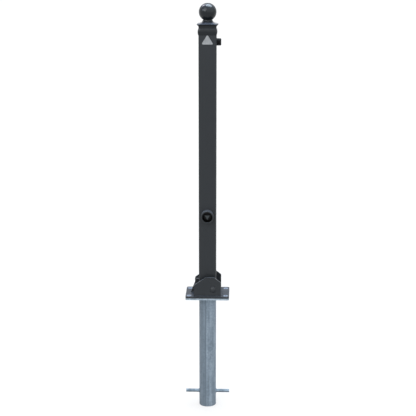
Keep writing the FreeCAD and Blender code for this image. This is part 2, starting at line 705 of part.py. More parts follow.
def make_pivot_bolt():
    """The bolt with a domed head in front, through both cheeks."""
    shaft = size("pivot_bolt_width") / 2
    head = size("pivot_head_width") / 2
    dome = size("pivot_head_height")
    grip = CHEEK_OUTER * 2 + size("pivot_washer_thickness") + size("pivot_nut_height")
    length = grip + size("pivot_bolt_tail")
    body = lathe("pivot_bolt", (
        (ZERO, -length),
        (shaft - size("end_bevel"), -length),
        (shaft, -(length - size("end_bevel"))),
        (shaft, ZERO),
        (head, ZERO),
        (head, size("pivot_head_rim")),
        (ZERO, dome, BALL),
    ))
    place(body, size("pivot_offset"), -CHEEK_OUTER, PIVOT_LEVEL, (1, 0, 0), 90)
    return body


def make_pivot_washer():
    """The washer behind the rear cheek."""
    bore = size("pivot_bolt_width") + size("thread_slack") * 2
    washer = ring("pivot_washer", size("pivot_washer_width"), bore, size("pivot_washer_thickness"))
    back = CHEEK_OUTER + size("pivot_washer_thickness")
    place(washer, size("pivot_offset"), back, PIVOT_LEVEL, (1, 0, 0), 90)
    return washer


def make_pivot_nut():
    """The nut on the pivot bolt's rear end."""
    height = size("pivot_nut_height")
    nut = make_nut("pivot_nut", size("pivot_nut_width"), size("pivot_bolt_width"), height)
    back = CHEEK_OUTER + size("pivot_washer_thickness") + height
    place(nut, size("pivot_offset"), back, PIVOT_LEVEL, (1, 0, 0), 90)
    return nut


def make_post_tube():
    """The square tube, drilled for the pivot bush, the lock collar and the buffer's stud."""
    body = new_body("post_tube")
    sketch = new_sketch(body, "post_section", "XY_Plane", POST_FOOT)
    draw_rounded_box(sketch, POST_HALF, POST_HALF, size("post_corner"))
    draw_rounded_box(sketch, POST_INSIDE, POST_INSIDE, size("post_corner") - size("post_wall"))
    pad(body, sketch, size("post_top") - POST_FOOT)
    pivot = new_sketch(body, "bush_holes", "XZ_Plane")
    draw_circle(pivot, size("bush_width"), size("pivot_offset"), PIVOT_LEVEL)
    pocket(body, pivot, "bush_drilling", size("post_width") * 2, middle=True)
    lock = new_sketch(body, "collar_hole", "XZ_Plane")
    draw_circle(lock, size("collar_width"), ZERO, LOCK_LEVEL)
    pocket(body, lock, "collar_drilling", size("post_width"), backwards=True)
    side = new_sketch(body, "stud_hole", "YZ_Plane")
    draw_circle(side, size("buffer_stud_width") + size("thread_slack") * 2, ZERO, BUFFER_LEVEL)
    pocket(body, side, "stud_drilling", size("post_width"), backwards=True)
    return body


def make_inner_plate(label, level, thickness):
    """A square plate welded inside the post, with a running hole for the lock rod."""
    body = new_body(label)
    half = POST_INSIDE - size("foot_margin")
    sketch = new_sketch(body, label + "_outline", "XY_Plane")
    draw_rounded_box(sketch, half, half, size("post_corner") - size("post_wall"))
    draw_circle(sketch, size("rod_width") + size("running_gap") * 2)
    pad(body, sketch, thickness, label + "_pad")
    place(body, high=level)
    return body


def make_pivot_bush():
    """The tube welded across the post, which turns on the pivot bolt."""
    bore = size("pivot_bolt_width") + size("running_gap") * 2
    bush = ring("pivot_bush", size("bush_width"), bore, size("post_width"))
    place(bush, size("pivot_offset"), POST_HALF, PIVOT_LEVEL, (1, 0, 0), 90)
    return bush


def make_pivot_spacers():
    """Two collars that fill the space between the post and the cheeks."""
    bore = size("pivot_bolt_width") + size("running_gap") * 2
    length = CHEEK_INNER - POST_HALF - size("side_gap")
    single = ring("pivot_spacer", size("spacer_width"), bore, length)
    place(single, size("pivot_offset"), -POST_HALF, PIVOT_LEVEL, (1, 0, 0), 90)
    return gather("pivot_spacers", [single, mirrored("rear_spacer", single, (0, 1, 0))])


def make_lock_collar():
    """The round collar set in the post's front wall, with a softened rim."""
    outer = size("collar_width") / 2
    inner = outer - size("collar_wall")
    length = COLLAR_BACK - RIM
    body = lathe("lock_collar", ((inner, ZERO), (outer, ZERO), (outer, length), (inner, length)))
    round_edges(body, size("collar_round"), circle_at(length, outer), "collar_rim")
    place(body, ZERO, COLLAR_BACK, LOCK_LEVEL, (1, 0, 0), 90)
    return body


def make_lock_cup():
    """The dark lining of the collar, with a floor that carries the bearing."""
    outer = size("collar_width") / 2 - size("collar_wall")
    inner = outer - size("cup_wall")
    bore = size("bearing_width") / 2
    rim = COLLAR_BACK - RIM - size("cup_setback")
    floor = size("cup_floor")
    body = lathe("lock_cup", (
        (bore, ZERO), (outer, ZERO), (outer, rim), (inner, rim), (inner, floor), (bore, floor),
    ))
    place(body, ZERO, COLLAR_BACK, LOCK_LEVEL, (1, 0, 0), 90)
    return body


def make_spindle_bearing():
    """A flanged bush, pressed into the lining's floor from behind."""
    bore = size("spindle_width") / 2 + size("running_gap")
    sleeve, rim = size("bearing_width") / 2, size("bearing_rim_width") / 2
    back, front = size("bearing_rim"), size("bearing_rim") + size("cup_floor")
    body = lathe("spindle_bearing", (
        (bore, ZERO), (rim, ZERO), (rim, back), (sleeve, back), (sleeve, front), (bore, front),
    ))
    place(body, ZERO, BEARING_BACK, LOCK_LEVEL, (1, 0, 0), 90)
    return body


def make_key_spindle():
    """The three-sided stud, one corner down, on a shoulder, a shaft and a square end with a clip groove."""
    shaft, shoulder = size("spindle_width") / 2, size("spindle_rim_width") / 2
    body = lathe("key_spindle", (
        (ZERO, -CRANK_FRONT),
        (shaft, -CRANK_FRONT),
        (shaft, -SHOULDER_BACK),
        (shoulder, -SHOULDER_BACK),
        (shoulder, -SHOULDER_FRONT),
        (ZERO, -SHOULDER_FRONT),
    ))
    stud = new_sketch(body, "stud_section", "XY_Plane", -SHOULDER_FRONT)
    half, reach = size("stud_side") / 2, size("stud_side") / ROOT_THREE
    draw_outline(stud, ((ZERO, -reach), (half, reach / 2), (-half, reach / 2)))
    pad(body, stud, SHOULDER_FRONT - STUD_END, "stud_pad")

    def stud_corner(edge):
        first, last = edge.Vertexes[0].Point, edge.Vertexes[-1].Point
        upright = math.hypot(first.x - last.x, first.y - last.y) < CLOSE
        return upright and abs(math.hypot(first.x, first.y) - reach.number) < CLOSE

    round_edges(body, size("stud_round"), stud_corner, "stud_corners")
    square = new_sketch(body, "square_section", "XY_Plane", -CRANK_FRONT)
    side = size("spindle_square") / 2
    draw_outline(square, ((side, -side), (side, side), (-side, side), (-side, -side)))
    pad(body, square, SPINDLE_END - CRANK_FRONT, "square_pad", downwards=True)
    groove = new_sketch(body, "groove_section", "XY_Plane", -CLIP_BACK)
    draw_circle(groove, size("spindle_square") * 2)
    draw_circle(groove, size("groove_width"))
    pocket(body, groove, "clip_groove", size("clip_thickness"), backwards=True)
    place(body, ZERO, ZERO, LOCK_LEVEL, (1, 0, 0), 90)
    return body


def make_crank_disc():
    """The disc on the spindle's square end, drilled for the crank pin."""
    body = new_body("crank_disc")
    sketch = new_sketch(body, "crank_outline", "XY_Plane", -CRANK_BACK)
    draw_circle(sketch, size("crank_width"))
    side = size("spindle_square") / 2
    draw_outline(sketch, ((side, -side), (side, side), (-side, side), (-side, -side)))
    draw_circle(sketch, size("crank_pin_width"), CRANK_SIDE, CRANK_RISE)
    pad(body, sketch, size("crank_thickness"), "crank_pad")
    place(body, ZERO, ZERO, LOCK_LEVEL, (1, 0, 0), 90)
    return body


def make_crank_pin():
    """The pin that is pressed in the disc and reaches into the yoke's slot."""
    pin = cylinder("crank_pin", size("crank_pin_width"), YOKE_STEP - CRANK_FRONT - size("slot_slack"))
    pin.Label = "crank_pin"
    place(pin, CRANK_SIDE, YOKE_STEP - size("slot_slack"), YOKE_LEVEL, (1, 0, 0), 90)
    return pin


def make_spindle_clip():
    """The open ring in the spindle's groove, which keeps the disc on its square."""
    body = new_body("spindle_clip")
    sketch = new_sketch(body, "clip_outline", "XY_Plane", -CLIP_BACK)
    draw_circle(sketch, size("clip_width"))
    draw_circle(sketch, size("groove_width"))
    pad(body, sketch, size("clip_thickness"), "clip_pad")
    mouth = new_sketch(body, "clip_mouth", "XY_Plane", -CLIP_BACK)
    half = size("clip_mouth") / 2
    draw_outline(mouth, ((half, ZERO), (half, size("clip_width")), (-half, size("clip_width")),
                         (-half, ZERO)))
    pocket(body, mouth, "clip_opening", size("clip_thickness"), backwards=True)
    place(body, ZERO, ZERO, LOCK_LEVEL, (1, 0, 0), 90)
    return body


def make_lock_rod():
    """The rod, bevelled at its tip and drilled across for the yoke's pin."""
    radius = size("rod_width") / 2
    tip = POST_FOOT + size("rod_setback")
    top = YOKE_LEVEL + size("yoke_half_height") + size("rod_head_stand")
    bevel = size("rod_tip_bevel")
    body = lathe("lock_rod", (
        (ZERO, tip), (radius - bevel, tip), (radius, tip + bevel), (radius, top), (ZERO, top),
    ))
    hole = new_sketch(body, "rod_pin_hole", "YZ_Plane")
    draw_circle(hole, size("yoke_pin_width"), ZERO, YOKE_LEVEL)
    pocket(body, hole, "rod_pin_drilling", size("rod_width") * 2, middle=True)
    return body


def make_rod_yoke():
    """The yoke: a slotted plate in front for the crank pin and a bored block behind it on the rod."""
    body = new_body("rod_yoke")
    left, right, back = -size("yoke_left"), size("yoke_right"), size("yoke_back")
    sketch = new_sketch(body, "yoke_outline", "XY_Plane")
    draw_outline(sketch, (
        (left, YOKE_FRONT), (right, YOKE_FRONT), (right, YOKE_STEP),
        (size("yoke_left"), YOKE_STEP), (size("yoke_left"), back), (left, back),
    ))
    pad(body, sketch, size("yoke_half_height") * 2, "yoke_pad", middle=True)
    bore = new_sketch(body, "rod_bore", "XY_Plane")
    draw_circle(bore, size("rod_width"))
    pocket(body, bore, "rod_boring", size("yoke_half_height") * 4, middle=True)
    slot = new_sketch(body, "yoke_slot", "XZ_Plane", -YOKE_STEP)
    half = size("crank_pin_width") / 2
    near, far = CRANK_SIDE - half - size("slot_slack"), size("crank_radius") + half + size("slot_slack")
    high = half + size("slot_slack")
    draw_outline(slot, ((near, -high), (far, -high), (far, high), (near, high)))
    pocket(body, slot, "yoke_slotting", size("yoke_plate") * 2, backwards=True)
    across = new_sketch(body, "yoke_pin_hole", "YZ_Plane")
    draw_circle(across, size("yoke_pin_width"))
    pocket(body, across, "yoke_pin_drilling", size("yoke_left") * 2, middle=True)
    place(body, high=YOKE_LEVEL)
    return body


def make_yoke_pin():
    """The pin across the yoke and the rod."""
    pin = cylinder("yoke_pin", size("yoke_pin_width"), size("yoke_left") * 2)
    pin.Label = "yoke_pin"
    place(pin, -size("yoke_left"), ZERO, YOKE_LEVEL, (0, 1, 0), 90)
    return pin


def make_rubber_buffer():
    """The rubber buffer, moulded over the rim of its steel disc."""
    radius, disc = size("buffer_width") / 2, size("buffer_disc_width") / 2
    recess, length = size("buffer_disc_thickness"), size("buffer_length")
    body = lathe("rubber_buffer", (
        (disc, ZERO), (radius, ZERO), (radius, length), (ZERO, length), (ZERO, recess), (disc, recess),
    ))
    round_edges(body, size("buffer_round"), circle_at(length, radius), "buffer_end")
    place(body, POST_HALF, ZERO, BUFFER_LEVEL, (0, 1, 0), 90)
    return body


def make_buffer_stud():
    """The steel disc in the buffer and its threaded stud through the post's wall."""
    disc, stud = size("buffer_disc_width") / 2, size("buffer_stud_width") / 2
    inward = size("post_wall") + size("buffer_washer_thickness") + size("buffer_nut_height")
    tail = inward + size("buffer_stud_tail")
    body = lathe("buffer_stud", (
        (ZERO, -tail),
        (stud - size("end_bevel"), -tail),
        (stud, -(tail - size("end_bevel"))),
        (stud, ZERO),
        (disc, ZERO),
        (disc, size("buffer_disc_thickness")),
        (ZERO, size("buffer_disc_thickness")),
    ))
    place(body, POST_HALF, ZERO, BUFFER_LEVEL, (0, 1, 0), 90)
    return body


def make_buffer_washer():
    """The washer on the buffer's stud, inside the post."""
    bore = size("buffer_stud_width") + size("thread_slack") * 2
    washer = ring("buffer_washer", size("buffer_washer_width"), bore, size("buffer_washer_thickness"))
    face = POST_INSIDE - size("buffer_washer_thickness")
    place(washer, face, ZERO, BUFFER_LEVEL, (0, 1, 0), 90)
    return washer


def make_buffer_nut():
    """The nut on the buffer's stud, inside the post."""
    height = size("buffer_nut_height")
    nut = make_nut("buffer_nut", size("buffer_nut_width"), size("buffer_stud_width"), height)
    face = POST_INSIDE - size("buffer_washer_thickness") - height
    place(nut, face, ZERO, BUFFER_LEVEL, (0, 1, 0), 90)
    return nut


def make_ball_cap():
    """The cast cap: mouldings run round the square, a hollowed roof that turns from square to round,
    a neck and a ball, over a socket that takes the tube."""
    body = new_body("ball_cap")
    corner = size("post_corner")
    path = new_sketch(body, "moulding_path", "XY_Plane", CAP_FOOT)
    draw_rounded_box(path, POST_HALF, POST_HALF, corner)
    section = new_sketch(body, "moulding_section", "XZ_Plane")
    socket = POST_HALF + size("cap_slack")
    lip = POST_HALF + size("cap_lip")
    bulge = POST_HALF + size("bead_bulge")
    edge = POST_HALF + size("cornice_bulge")
    inner = POST_INSIDE
    cove_way = (POST_HALF + size("cove_way_out"), THROAT_TOP + size("cove_way_high"))
    draw_outline(section, (
        (socket, CAP_FOOT),
        (lip, CAP_FOOT),
        (POST_HALF, BEAD_TOP, (bulge, CAP_FOOT + size("bead_height") / 2)),
        (POST_HALF, THROAT_TOP),
        (edge, CORNICE_FOOT, cove_way),
        (edge, CORNICE_TOP),
        (inner, CORNICE_TOP),
        (inner, size("post_top")),
        (socket, size("post_top")),
    ))
    moulding = body.newObject("PartDesign::AdditivePipe", "mouldings")
    moulding.Profile = section
    moulding.Spine = path
    doc.recompute()
    fill = new_sketch(body, "cap_fill", "XY_Plane", size("post_top"))
    middle = inner + size("cap_overlap")
    draw_rounded_box(fill, middle, middle, corner - size("post_wall") + size("cap_overlap"))
    pad(body, fill, CORNICE_TOP - size("post_top"), "cap_fill_pad")
    levels = (
        (edge, corner + size("cornice_bulge"), CORNICE_TOP),
        (size("roof_low_half"), size("roof_low_round"), CORNICE_TOP + size("roof_low_rise")),
        (size("roof_mid_half"), size("roof_mid_round"), CORNICE_TOP + size("roof_mid_rise")),
        (size("roof_top_half"), size("roof_top_round"), NECK_FOOT),
    )
    steps = []
    for number, (half, radius, level) in enumerate(levels, start=1):
        step = new_sketch(body, f"roof_step_{number}", "XY_Plane", level)
        draw_rounded_box(step, half, half, radius)
        steps.append(step)
    roof = body.newObject("PartDesign::AdditiveLoft", "roof")
    roof.Profile = steps[0]
    roof.Sections = steps[1:]
    roof.Ruled = False
    doc.recompute()
    ball = size("ball_radius")
    neck = size("neck_half")
    drop = Length(math.sqrt(ball.number**2 - neck.number**2), f"sqrt({ball.text}^2 - {neck.text}^2)")
    neck_top = NECK_FOOT + size("neck_slope")
    centre = neck_top + drop
    finial = new_sketch(body, "finial_section", "XZ_Plane")
    draw_outline(finial, (
        (ZERO, CORNICE_TOP),
        (size("roof_top_half"), CORNICE_TOP),
        (size("roof_top_half"), NECK_FOOT),
        (neck, neck_top),
        (ZERO, centre + ball, BALL),
    ))
    turn_profile(body, finial, "finial")
    core = new_sketch(body, "cap_core", "XY_Plane", size("post_top"))
    core_half = POST_INSIDE - size("cap_shell")
    draw_rounded_box(core, core_half, core_half, corner)
    pocket(body, core, "cap_coring", size("cap_core_depth"), backwards=True)
    return body


def make_everything():
    """Builds each sub-part and gives them in the order of assembly."""
    return [
        make_ground_tube(),
        make_tube_flange(),
        make_anchor_bar(),
        make_hinge_plate(),
        make_flange_screws(),
        make_cheek("front_cheek", -CHEEK_INNER),
        make_cheek("rear_cheek", CHEEK_OUTER),
        make_stop_rib(),
        make_pivot_bolt(),
        make_pivot_washer(),
        make_pivot_nut(),
        make_post_tube(),
        make_inner_plate("foot_plate", POST_FOOT, size("foot_thickness")),
        make_inner_plate("rod_guide", LOCK_LEVEL - size("guide_drop") - size("guide_thickness"),
                         size("guide_thickness")),
        make_pivot_bush(),
        make_pivot_spacers(),
        make_lock_collar(),
        make_lock_cup(),
        make_spindle_bearing(),
        make_key_spindle(),
        make_crank_disc(),
        make_crank_pin(),
        make_spindle_clip(),
        make_lock_rod(),
        make_rod_yoke(),
        make_yoke_pin(),
        make_rubber_buffer(),
        make_buffer_stud(),
        make_buffer_washer(),
        make_buffer_nut(),
        make_ball_cap(),
    ]


def check_and_write(parts):
    """Stops at any object that failed, then writes each sub-part to a file of its own."""
    doc.recompute()
    for thing in doc.Objects:
        if "Invalid" in thing.State or "Error" in thing.State:
            raise RuntimeError(f"{thing.Label} failed: {thing.State}")
    for part in parts:
        if part.Shape.isNull() or not part.Shape.isValid():
            raise RuntimeError(f"{part.Label} has no valid shape")
    os.makedirs("parts", exist_ok=True)
    for part in parts:
        part.Shape.exportStep(f"parts/{part.Label}.step")
        print(f"{part.Label}: {len(part.Shape.Solids)} solid(s), {part.Shape.Volume:.1f} mm3")


check_and_write(make_everything())
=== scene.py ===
"""Looks of a fold-down barrier post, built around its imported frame.

The frame gives every solid. This file dresses those solids and adds what they leave out: weld beads, a
threaded bolt and its nut, zinc runs, a bare plate near the post's top, and the buffer's moulded form. The
axes are the frame's own: +Z up the post, +X to the side that it folds to, -Y to the front. The shapes are in
millimetres, the finishes and the setting in metres.
"""

from __future__ import annotations

import json
import logging
import math
from dataclasses import dataclass
from enum import Enum

import bpy
import numpy as np
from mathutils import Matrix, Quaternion, Vector

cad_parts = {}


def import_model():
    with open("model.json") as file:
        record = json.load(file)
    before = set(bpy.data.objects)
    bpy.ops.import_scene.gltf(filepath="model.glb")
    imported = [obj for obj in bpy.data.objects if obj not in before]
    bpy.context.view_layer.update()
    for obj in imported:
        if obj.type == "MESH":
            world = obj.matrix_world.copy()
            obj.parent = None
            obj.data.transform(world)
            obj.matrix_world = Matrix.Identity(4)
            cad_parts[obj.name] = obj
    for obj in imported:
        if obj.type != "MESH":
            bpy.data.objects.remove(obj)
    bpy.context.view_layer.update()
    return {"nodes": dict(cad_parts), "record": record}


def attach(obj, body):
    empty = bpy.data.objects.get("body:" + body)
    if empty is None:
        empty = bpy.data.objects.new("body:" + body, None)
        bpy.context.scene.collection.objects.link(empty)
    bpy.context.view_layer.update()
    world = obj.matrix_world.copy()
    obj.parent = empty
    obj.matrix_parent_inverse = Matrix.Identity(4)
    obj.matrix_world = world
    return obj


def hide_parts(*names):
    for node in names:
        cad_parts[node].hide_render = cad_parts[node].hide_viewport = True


LOG = logging.getLogger("barrier_post")
MM = 0.001
FULL_TURN = 2 * math.pi
UP = (0.0, 0.0, 1.0)
WHITE = (1.0, 1.0, 1.0)
NODE_STEP = 220

Pair = tuple[float, float]
Triple = tuple[float, float, float]
Material = bpy.types.Material
Socket = bpy.types.NodeSocket


class Body(Enum):
    """The frame's bodies that new pieces ride on."""

    BASE = "base"
    POST = "post"


class Slot(Enum):
    """The record's material slots."""

    GALVANISED = "galvanised"
    POWDER = "powder_coat"
    CAST_PAINT = "cast_paint"
    ZINC = "zinc_plated"
    STEEL = "bare_steel"
    PLASTIC = "black_plastic"
    BRONZE = "bronze"
    CAST_ZINC = "cast_zinc"
    RUBBER = "rubber"


class Axis(Enum):
    """The axis that a profile spins about, as the order of a point's parts along it and across it."""

    X = (0, 1, 2)
    Y = (2, 0, 1)
    Z = (1, 2, 0)


class Effect(Enum):
    """The effects that several finishes share, by the names of their node groups."""

    PEEL = "coat_peel"
    SPANGLE = "zinc_spangle"
    DUST = "dust_masks"
    LINES = "tool_lines"


def ring_faces(rings: int, around: int, closed: bool) -> np.ndarray:
    """Quads between rings of points that are numbered ring by ring.

    Args:
        rings: how many rings.
        around: points on each ring, the last of which joins the first.
        closed: whether the last ring joins the first.

    Returns:
        An array of four point numbers for each quad.
    """
    ring = np.arange(rings if closed else rings - 1)[:, None]
    here, beyond = ring * around, (ring + 1) % rings * around
    point = np.arange(around)[None, :]
    after = (point + 1) % around
    return np.stack([here + point, beyond + point, beyond + after, here + after], -1).reshape(-1, 4)


@dataclass
class Surface:
    """Points, in millimetres, and faces of a piece before it becomes a mesh."""

    points: np.ndarray
    faces: list[np.ndarray]

    @classmethod
    def tube(cls, grid: np.ndarray) -> Surface:
        """A surface from closed rings set one after another, with a fan over each end.

        Args:
            grid: rings by points by three coordinates.

        Returns:
            The surface.
        """
        rings, around = grid.shape[:2]
        points, faces = grid.reshape(-1, 3), [ring_faces(rings, around, False)]
        for row, way in ((0, 1), (rings - 1, -1)):
            ring = np.arange(around) + row * around
            fan = np.stack([ring, np.roll(ring, -1), np.full(around, len(points))], -1)
            points = np.vstack([points, grid[row].mean(0)])
            faces.append(fan[:, ::way])
        return cls(points, faces)

    @classmethod
    def ring(cls, grid: np.ndarray) -> Surface:
        """A surface that closes on itself along both parameters, such as a washer's skin."""
        return cls(grid.reshape(-1, 3), [ring_faces(*grid.shape[:2], True)])

    def joined(self, other: Surface) -> Surface:
        """This surface and another as one."""
        moved = [faces + len(self.points) for faces in other.faces]
        return Surface(np.vstack([self.points, other.points]), self.faces + moved)

    def outward(self) -> Surface:
        """The same surface with its faces turned outwards, told from the signed volume that it encloses.

        Returns:
            The surface, or its copy with every face the other way round.
        """
        volume = 0.0
        for faces in self.faces:
            corners = self.points[faces]
            for last in range(2, faces.shape[1]):
                across = np.cross(corners[:, last - 1], corners[:, last])
                volume += (corners[:, 0] * across).sum()
        return self if volume >= 0 else Surface(self.points, [faces[:, ::-1] for faces in self.faces])


def add_object(name: str, data: bpy.types.ID) -> bpy.types.Object:
    """Puts data into a new object of the scene.

    Args:
        name: the object's name.
        data: its mesh, light or camera.

    Returns:
        The object.
    """
    made = bpy.data.objects.new(name, data)
    bpy.context.scene.collection.objects.link(made)
    return made


def make_piece(name: str, surface: Surface, body: Body, look: Look,
               sharp: float = 40.0) -> bpy.types.Object:
    """Puts a surface into a mesh, dresses it and lets it ride on its body.

    Args:
        name: the piece's name.
        surface: its points and faces, in the frame's axes.
        body: the body that it moves with.
        look: its finish.
        sharp: the angle in degrees above which an edge stays sharp.

    Returns:
        The new object.
    """
    surface = surface.outward()
    mesh = bpy.data.meshes.new(name)
    faces = [face for part in surface.faces for face in part.tolist()]
    mesh.from_pydata((surface.points * MM).tolist(), [], faces)
    mesh.validate()
    mesh.shade_smooth()
    mesh.set_sharp_from_angle(angle=math.radians(sharp))
    mesh.materials.append(look.material)
    piece = add_object(name, mesh)
    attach(piece, body.value)
    LOG.info("%s: %d points", name, len(surface.points))
    return piece


def spin(radius: np.ndarray | float, height: np.ndarray | float, centre: Triple, axis: Axis,
         steps: int) -> np.ndarray:
    """Spins a profile about an axis.

    The point at angle a lies its height along the axis and its radius times (cos a, sin a) across it.

    Args:
        radius: one value for a circle, a column of them, or one for each point of each ring.
        height: one value, or a column with one for each ring.
        centre: where the axis passes and the heights start.
        axis: the axis.
        steps: points round the axis.

    Returns:
        Steps by three coordinates, or rings by steps by three.
    """
    angle = np.linspace(0, FULL_TURN, steps, endpoint=False)
    one, two = radius * np.cos(angle), radius * np.sin(angle)
    parts = (np.broadcast_to(height, one.shape), one, two)
    return np.stack([parts[place] for place in axis.value], -1) + centre


def smooth_profile(corners: list[Pair], rounding: float) -> np.ndarray:
    """A profile whose inner corners are cut by short arcs.

    Each corner is left and joined at the same distance from it, and a quadratic curve with the corner as its
    middle control point runs between the two.

    Args:
        corners: radius and height of each corner.
        rounding: the distance at which a corner is left, where its sides have room for it.

    Returns:
        The profile's points.
    """
    most, steps = 0.45, 5
    spots = np.array(corners, float)
    share = np.linspace(0, 1, steps)[:, None]
    made = [spots[:1]]
    for before, corner, after in zip(spots[:-2], spots[1:-1], spots[2:]):
        ends = []
        for other in (before, after):
            length = np.linalg.norm(other - corner)
            ends.append(corner + (other - corner) / length * min(rounding, length * most))
        made.append((1 - share) ** 2 * ends[0] + 2 * share * (1 - share) * corner + share**2 * ends[1])
    return np.vstack([*made, spots[-1:]])


def shade(colour: Triple, factor: float = 1.0) -> tuple[float, ...]:
    """A colour made lighter or darker, with full opacity."""
    return tuple(min(1.0, part * factor) for part in colour) + (1.0,)


@dataclass(frozen=True)
class Noise:
    """A noise: its waves in a metre, its finer layers, their strength, and the ramp that it goes through."""

    scale: float | Socket
    detail: float
    rough: float = 0.5
    ramp: tuple[float, ...] = ()


class Sheet:
    """A node tree and short ways to add nodes and links to it."""

    def __init__(self, tree: bpy.types.NodeTree) -> None:
        """Empties and keeps the tree."""
        tree.nodes.clear()
        self.tree = tree

    @classmethod
    def of(cls, owner: Material | bpy.types.World) -> Sheet:
        """The sheet of a new material or world."""
        owner.use_nodes = True
        return cls(owner.node_tree)

    def add(self, kind: str, settings: dict[str, object] | None = None, **inputs: object) -> bpy.types.Node:
        """Adds a node.

        Args:
            kind: the node's type without its ShaderNode prefix.
            settings: properties of the node.
            **inputs: values or sockets for its inputs, with _ for a blank, and i0, i1 and so on for a place.

        Returns:
            The node.
        """
        node = self.tree.nodes.new("ShaderNode" + kind)
        node.location = (NODE_STEP * len(self.tree.nodes), 0)
        for key, value in (settings or {}).items():
            setattr(node, key, value)
        for key, value in inputs.items():
            place = int(key[1:]) if key[1:].isdigit() else key.replace("_", " ")
            self.feed(node.inputs[place], value)
        return node

    def feed(self, socket: Socket, value: object) -> None:
        """Links a socket to an input, or sets the input's own value.

        Args:
            socket: the input.
            value: the socket or the value.
        """
        if isinstance(value, Socket):
            self.tree.links.new(value, socket)
        else:
            socket.default_value = value

    def effect(self, effect: Effect, **inputs: object) -> list[Socket]:
        """The outputs of a shared effect with its own inputs."""
        group = bpy.data.node_groups[effect.value]
        return list(self.add("Group", {"node_tree": group}, **inputs).outputs)

    def maths(self, operation: str, *values: object, kind: str = "Math") -> Socket:
        """The result of a Math node, or of a VectorMath node."""
        inputs = {f"i{place}": value for place, value in enumerate(values)}
        return self.add(kind, {"operation": operation}, **inputs).outputs[0]

    def times(self, first: object, second: object, more: object = 0.0) -> Socket:
        """One value times another, and a third added."""
        return self.maths("MULTIPLY_ADD", first, second, more)

    def ramp(self, value: object, low: float, high: float, to_low: float = 0.0,
             to_high: float = 1.0) -> Socket:
        """A value carried smoothly from one range to another and held at its ends."""
        return self.add("MapRange", {"interpolation_type": "SMOOTHSTEP"}, i0=value, i1=low, i2=high,
                        i3=to_low, i4=to_high).outputs[0]

    def noise(self, place: Socket, noise: Noise) -> Socket:
        """The value of a noise at a place."""
        value = self.add("TexNoise", Vector=place, Scale=noise.scale, Detail=noise.detail,
                         Roughness=noise.rough).outputs[0]
        return self.ramp(value, *noise.ramp) if noise.ramp else value

    def blend(self, share: object, first: object, second: object) -> Socket:
        """Two colours mixed."""
        return self.add("Mix", {"data_type": "RGBA"}, i0=share, i6=first, i7=second).outputs[2]

    def tones(self, share: Socket, colour: Triple, factors: Pair) -> Socket:
        """A colour between its darker and its lighter tone."""
        return self.blend(share, shade(colour, factors[0]), shade(colour, factors[1]))

    def coat(self, below: Socket, mask: Socket, share: float, colour: Triple) -> Socket:
        """A colour laid over another where a mask is, up to a share."""
        return self.blend(self.times(mask, share), below, shade(colour))

    def place(self, output: str = "Object") -> Socket:
        """The piece's own coordinates, or with "Normal" the way that its skin faces."""
        return self.add("TexCoord").outputs[output]

    def split(self, vector: Socket) -> list[Socket]:
        """The three parts of a vector."""
        return list(self.add("SeparateXYZ", Vector=vector).outputs)

    def seen_rays(self) -> Socket:
        """Tells the rays that show the white background: those from the camera, mirrored or passed ones.

        Returns:
            One for those rays and zero for the others.
        """
        path = self.add("LightPath").outputs
        seen = self.maths("MAXIMUM", path["Is Camera Ray"], path["Is Glossy Ray"])
        return self.maths("MAXIMUM", seen, path["Is Transmission Ray"])


class GroupSheet(Sheet):
    """The sheet of a new shader node group, whose outputs are numbers."""

    def __init__(self, effect: Effect, outputs: tuple[str, ...], **inputs: object) -> None:
        """Starts the group with its named inputs and outputs.

        Args:
            effect: the effect that it makes.
            outputs: the name of each output.
            **inputs: the first value of each input: a number, three numbers, or None for a place.
        """
        super().__init__(bpy.data.node_groups.new(effect.value, "ShaderNodeTree"))
        face = self.tree.interface
        for label, value in inputs.items():
            kind = "NodeSocketFloat" if isinstance(value, float) else "NodeSocketVector"
            socket = face.new_socket(name=label, in_out="INPUT", socket_type=kind)
            if value is not None:
                socket.default_value = value
        for label in outputs:
            face.new_socket(name=label, in_out="OUTPUT", socket_type="NodeSocketFloat")
        self.given = self.tree.nodes.new("NodeGroupInput").outputs[:len(inputs)]
        self.end = self.tree.nodes.new("NodeGroupOutput")

    def put_out(self, *values: Socket) -> None:
        """Links the outputs in their order."""
        for socket, value in zip(self.end.inputs, values):
            self.feed(socket, value)


def make_peel() -> None:
    """The skin of powder coat: a soft orange-peel swell with fine grain on it, as a height and as specks."""
    sheet = GroupSheet(Effect.PEEL, ("Height", "Speck"), Place=None, Swell=420.0, Grain=1900.0)
    place, swell_scale, grain_scale = sheet.given
    grain_share, speck_ends = 0.35, (0.62, 0.75)
    swell = sheet.noise(place, Noise(swell_scale, 2.0))
    grain = sheet.noise(place, Noise(grain_scale, 1.0))
    sheet.put_out(sheet.times(grain, grain_share, swell), sheet.ramp(grain, *speck_ends))


